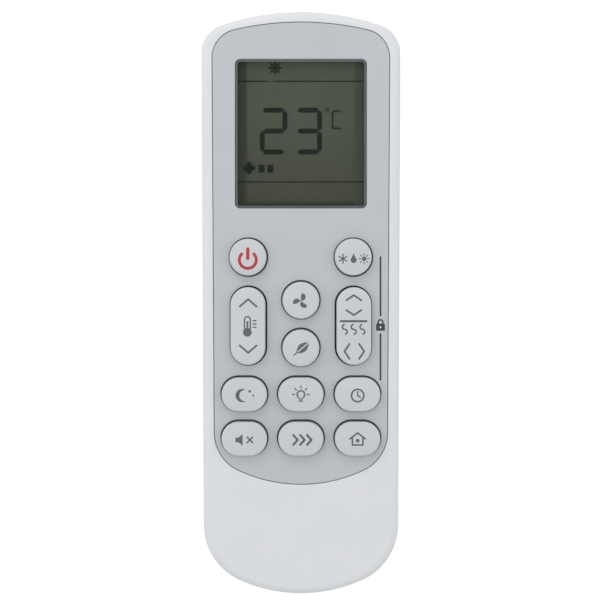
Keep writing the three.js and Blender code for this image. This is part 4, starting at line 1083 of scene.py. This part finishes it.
def coil_spring(node, base_y, tip_y):
    """A conical contact spring of round wire."""
    x, z = middle(node).x, middle("battery_left").z
    steps = SPRING_TURNS * 24
    curve = bpy.data.curves.new(node + "_wire", "CURVE")
    curve.dimensions = "3D"
    curve.bevel_depth = WIRE_RADIUS * MM
    curve.bevel_resolution = 4
    curve.use_fill_caps = True
    spline = curve.splines.new("POLY")
    spline.points.add(steps)
    turn_way = 1 if tip_y > base_y else -1
    for i in range(steps + 1):
        share = i / steps
        angle = share * SPRING_TURNS * 2 * math.pi
        radius = SPRING_BASE_RADIUS + (SPRING_TIP_RADIUS - SPRING_BASE_RADIUS) * share
        travel = abs(tip_y - base_y) - 2 * WIRE_RADIUS
        along = base_y + turn_way * (WIRE_RADIUS + travel * share)
        spline.points[i].co = ((x + turn_way * radius * math.cos(angle)) * MM, along * MM,
                               (z + radius * math.sin(angle)) * MM, 1)
    shaped = put_in_scene(node + "_wire", curve)
    bpy.context.view_layer.update()
    mesh = bpy.data.meshes.new_from_object(
        shaped.evaluated_get(bpy.context.evaluated_depsgraph_get()))
    bpy.data.objects.remove(shaped)
    bm = bmesh.new()
    bm.from_mesh(mesh)
    bmesh.ops.scale(bm, verts=bm.verts, vec=(1 / MM, 1 / MM, 1 / MM))
    finish_piece(bm, node + "_coil", "handset", tinned_steel, [node])


def finish_inside():
    """The nodes that keep their CAD shape get the finish of what they are."""
    finishes = {
        "lcd_front_glass": display_film, "lcd_rear_glass": display_film, "lcd_holder": holder_abs,
        "zebra_strip": silicone, "keypad_mat": silicone, "circuit_board": phenolic_laminate,
        "controller_chip": epoxy, "crystal": tinned_steel, "capacitor": epoxy, "transistor": epoxy,
        "ir_led": clear_epoxy, "link_plate": tinned_steel, "positive_plate": tinned_steel,
        "negative_plate": tinned_steel,
    }
    for node in frame["nodes"]:
        if "screw" in node:
            finishes[node] = tinned_steel
    for node, material in finishes.items():
        for slot in frame["nodes"][node].material_slots:
            slot.material = material


# ------------------------------------------------------------------ studio

# Metres and watts from here on. The floor's own glow is for the camera alone: it makes the paper
# white in the picture, under the shadow of the handset, and lights nothing.
FLOOR_HALF = 3.0
FLOOR_DROP = 0.0001
FLOOR_GLOW = 0.36
SKY = 0.70
SKY_SEEN = 1.0


def studio():
    """A floor of white paper, an even pale sky and four soft lamps."""
    mesh = bpy.data.meshes.new("studio_floor")
    bm = bmesh.new()
    bmesh.ops.create_grid(bm, x_segments=1, y_segments=1, size=FLOOR_HALF)
    bmesh.ops.translate(bm, verts=bm.verts, vec=(0, 0, -FLOOR_DROP))
    bm.to_mesh(mesh)
    bm.free()
    floor = put_in_scene("studio_floor", mesh)
    material, tree, shader = surface("white_paper", {"Base Color": colour("#f4f4f4"),
                                                     "Roughness": 0.9})
    rays = add(tree, "ShaderNodeLightPath")
    glow = add(tree, "ShaderNodeEmission", {"Color": (1, 1, 1, 1), "Strength": FLOOR_GLOW})
    both = add(tree, "ShaderNodeAddShader", links={0: shader.outputs[0], 1: glow.outputs[0]})
    seen = add(tree, "ShaderNodeMixShader", links={
        0: rays.outputs["Is Camera Ray"], 1: shader.outputs[0], 2: both.outputs[0]})
    tree.links.new(seen.outputs[0], tree.nodes["Material Output"].inputs["Surface"])
    floor.data.materials.append(material)

    world = bpy.data.worlds.new("studio_light")
    bpy.context.scene.world = world
    world.use_nodes = True
    tree = world.node_tree
    rays = add(tree, "ShaderNodeLightPath")
    seen = add(tree, "ShaderNodeMath", {"operation": "MAXIMUM"}, {
        0: rays.outputs["Is Camera Ray"], 1: rays.outputs["Is Glossy Ray"]})
    seen = add(tree, "ShaderNodeMath", {"operation": "MAXIMUM"}, {
        0: seen.outputs[0], 1: rays.outputs["Is Transmission Ray"]})
    strength = add(tree, "ShaderNodeMapRange", {"To Min": SKY, "To Max": SKY_SEEN},
                   {"Value": seen.outputs[0]})
    tree.links.new(strength.outputs["Result"], tree.nodes["Background"].inputs["Strength"])
    tree.nodes["Background"].inputs["Color"].default_value = (1, 1, 1, 1)
    soft_box("soft_box_far_end", (-0.12, 0.42, 0.3), (0.5, 0.3), 0.58)
    soft_box("soft_box_left", (-0.36, 0.05, 0.6), (0.3, 0.6), 0.37)
    soft_box("soft_box_left_low", (-0.6, 0.05, 0.2), (0.3, 0.6), 0.36)
    soft_box("soft_box_right", (0.5, 0.05, 0.42), (0.3, 0.6), 0.5)


def soft_box(name, place, size, power):
    """A large lamp that faces the handset."""
    lamp = bpy.data.lights.new(name, "AREA")
    lamp.shape = "RECTANGLE"
    lamp.size, lamp.size_y = size
    lamp.energy = power
    box = put_in_scene(name, lamp)
    box.location = place
    box.rotation_euler = (-box.location).to_track_quat("-Z", "Y").to_euler()


SIDE_PIXELS = 600
SENSOR = 36
FOCAL_PIXELS = 1634.4
SHIFT_PIXELS = (-0.9, -49.4)
EYE = (0, 0.01373, 0.4496)


def camera():
    """Straight above the face, square to it, as the picture was taken."""
    view = bpy.data.cameras.new("camera")
    view.sensor_width = SENSOR
    view.lens = SENSOR * FOCAL_PIXELS / SIDE_PIXELS
    view.shift_x, view.shift_y = (pixels / SIDE_PIXELS for pixels in SHIFT_PIXELS)
    view.clip_start = 0.01
    eye = put_in_scene("camera", view)
    eye.location = EYE
    bpy.context.scene.camera = eye


camera()
studio()
bpy.context.scene.view_settings.view_transform = "Standard"

front_case()
softened_copy("back_case", "back_case_shell", satin_abs)
softened_copy("battery_door", "battery_door_cover", satin_abs)
plate = face_panel()
display_lens()
caps = {key: rocker_key(key) if KEYS[key] is ROCKER else press_key(key) for key in KEYS}
print_signs(caps)
print_lock(plate)
display_marks()
for cell in ("battery_left", "battery_right"):
    dry_cell(cell)
coil_spring("spring_link", lowest("spring_link").y, highest("spring_link").y)
coil_spring("spring_negative", highest("spring_negative").y, lowest("spring_negative").y)
finish_inside()
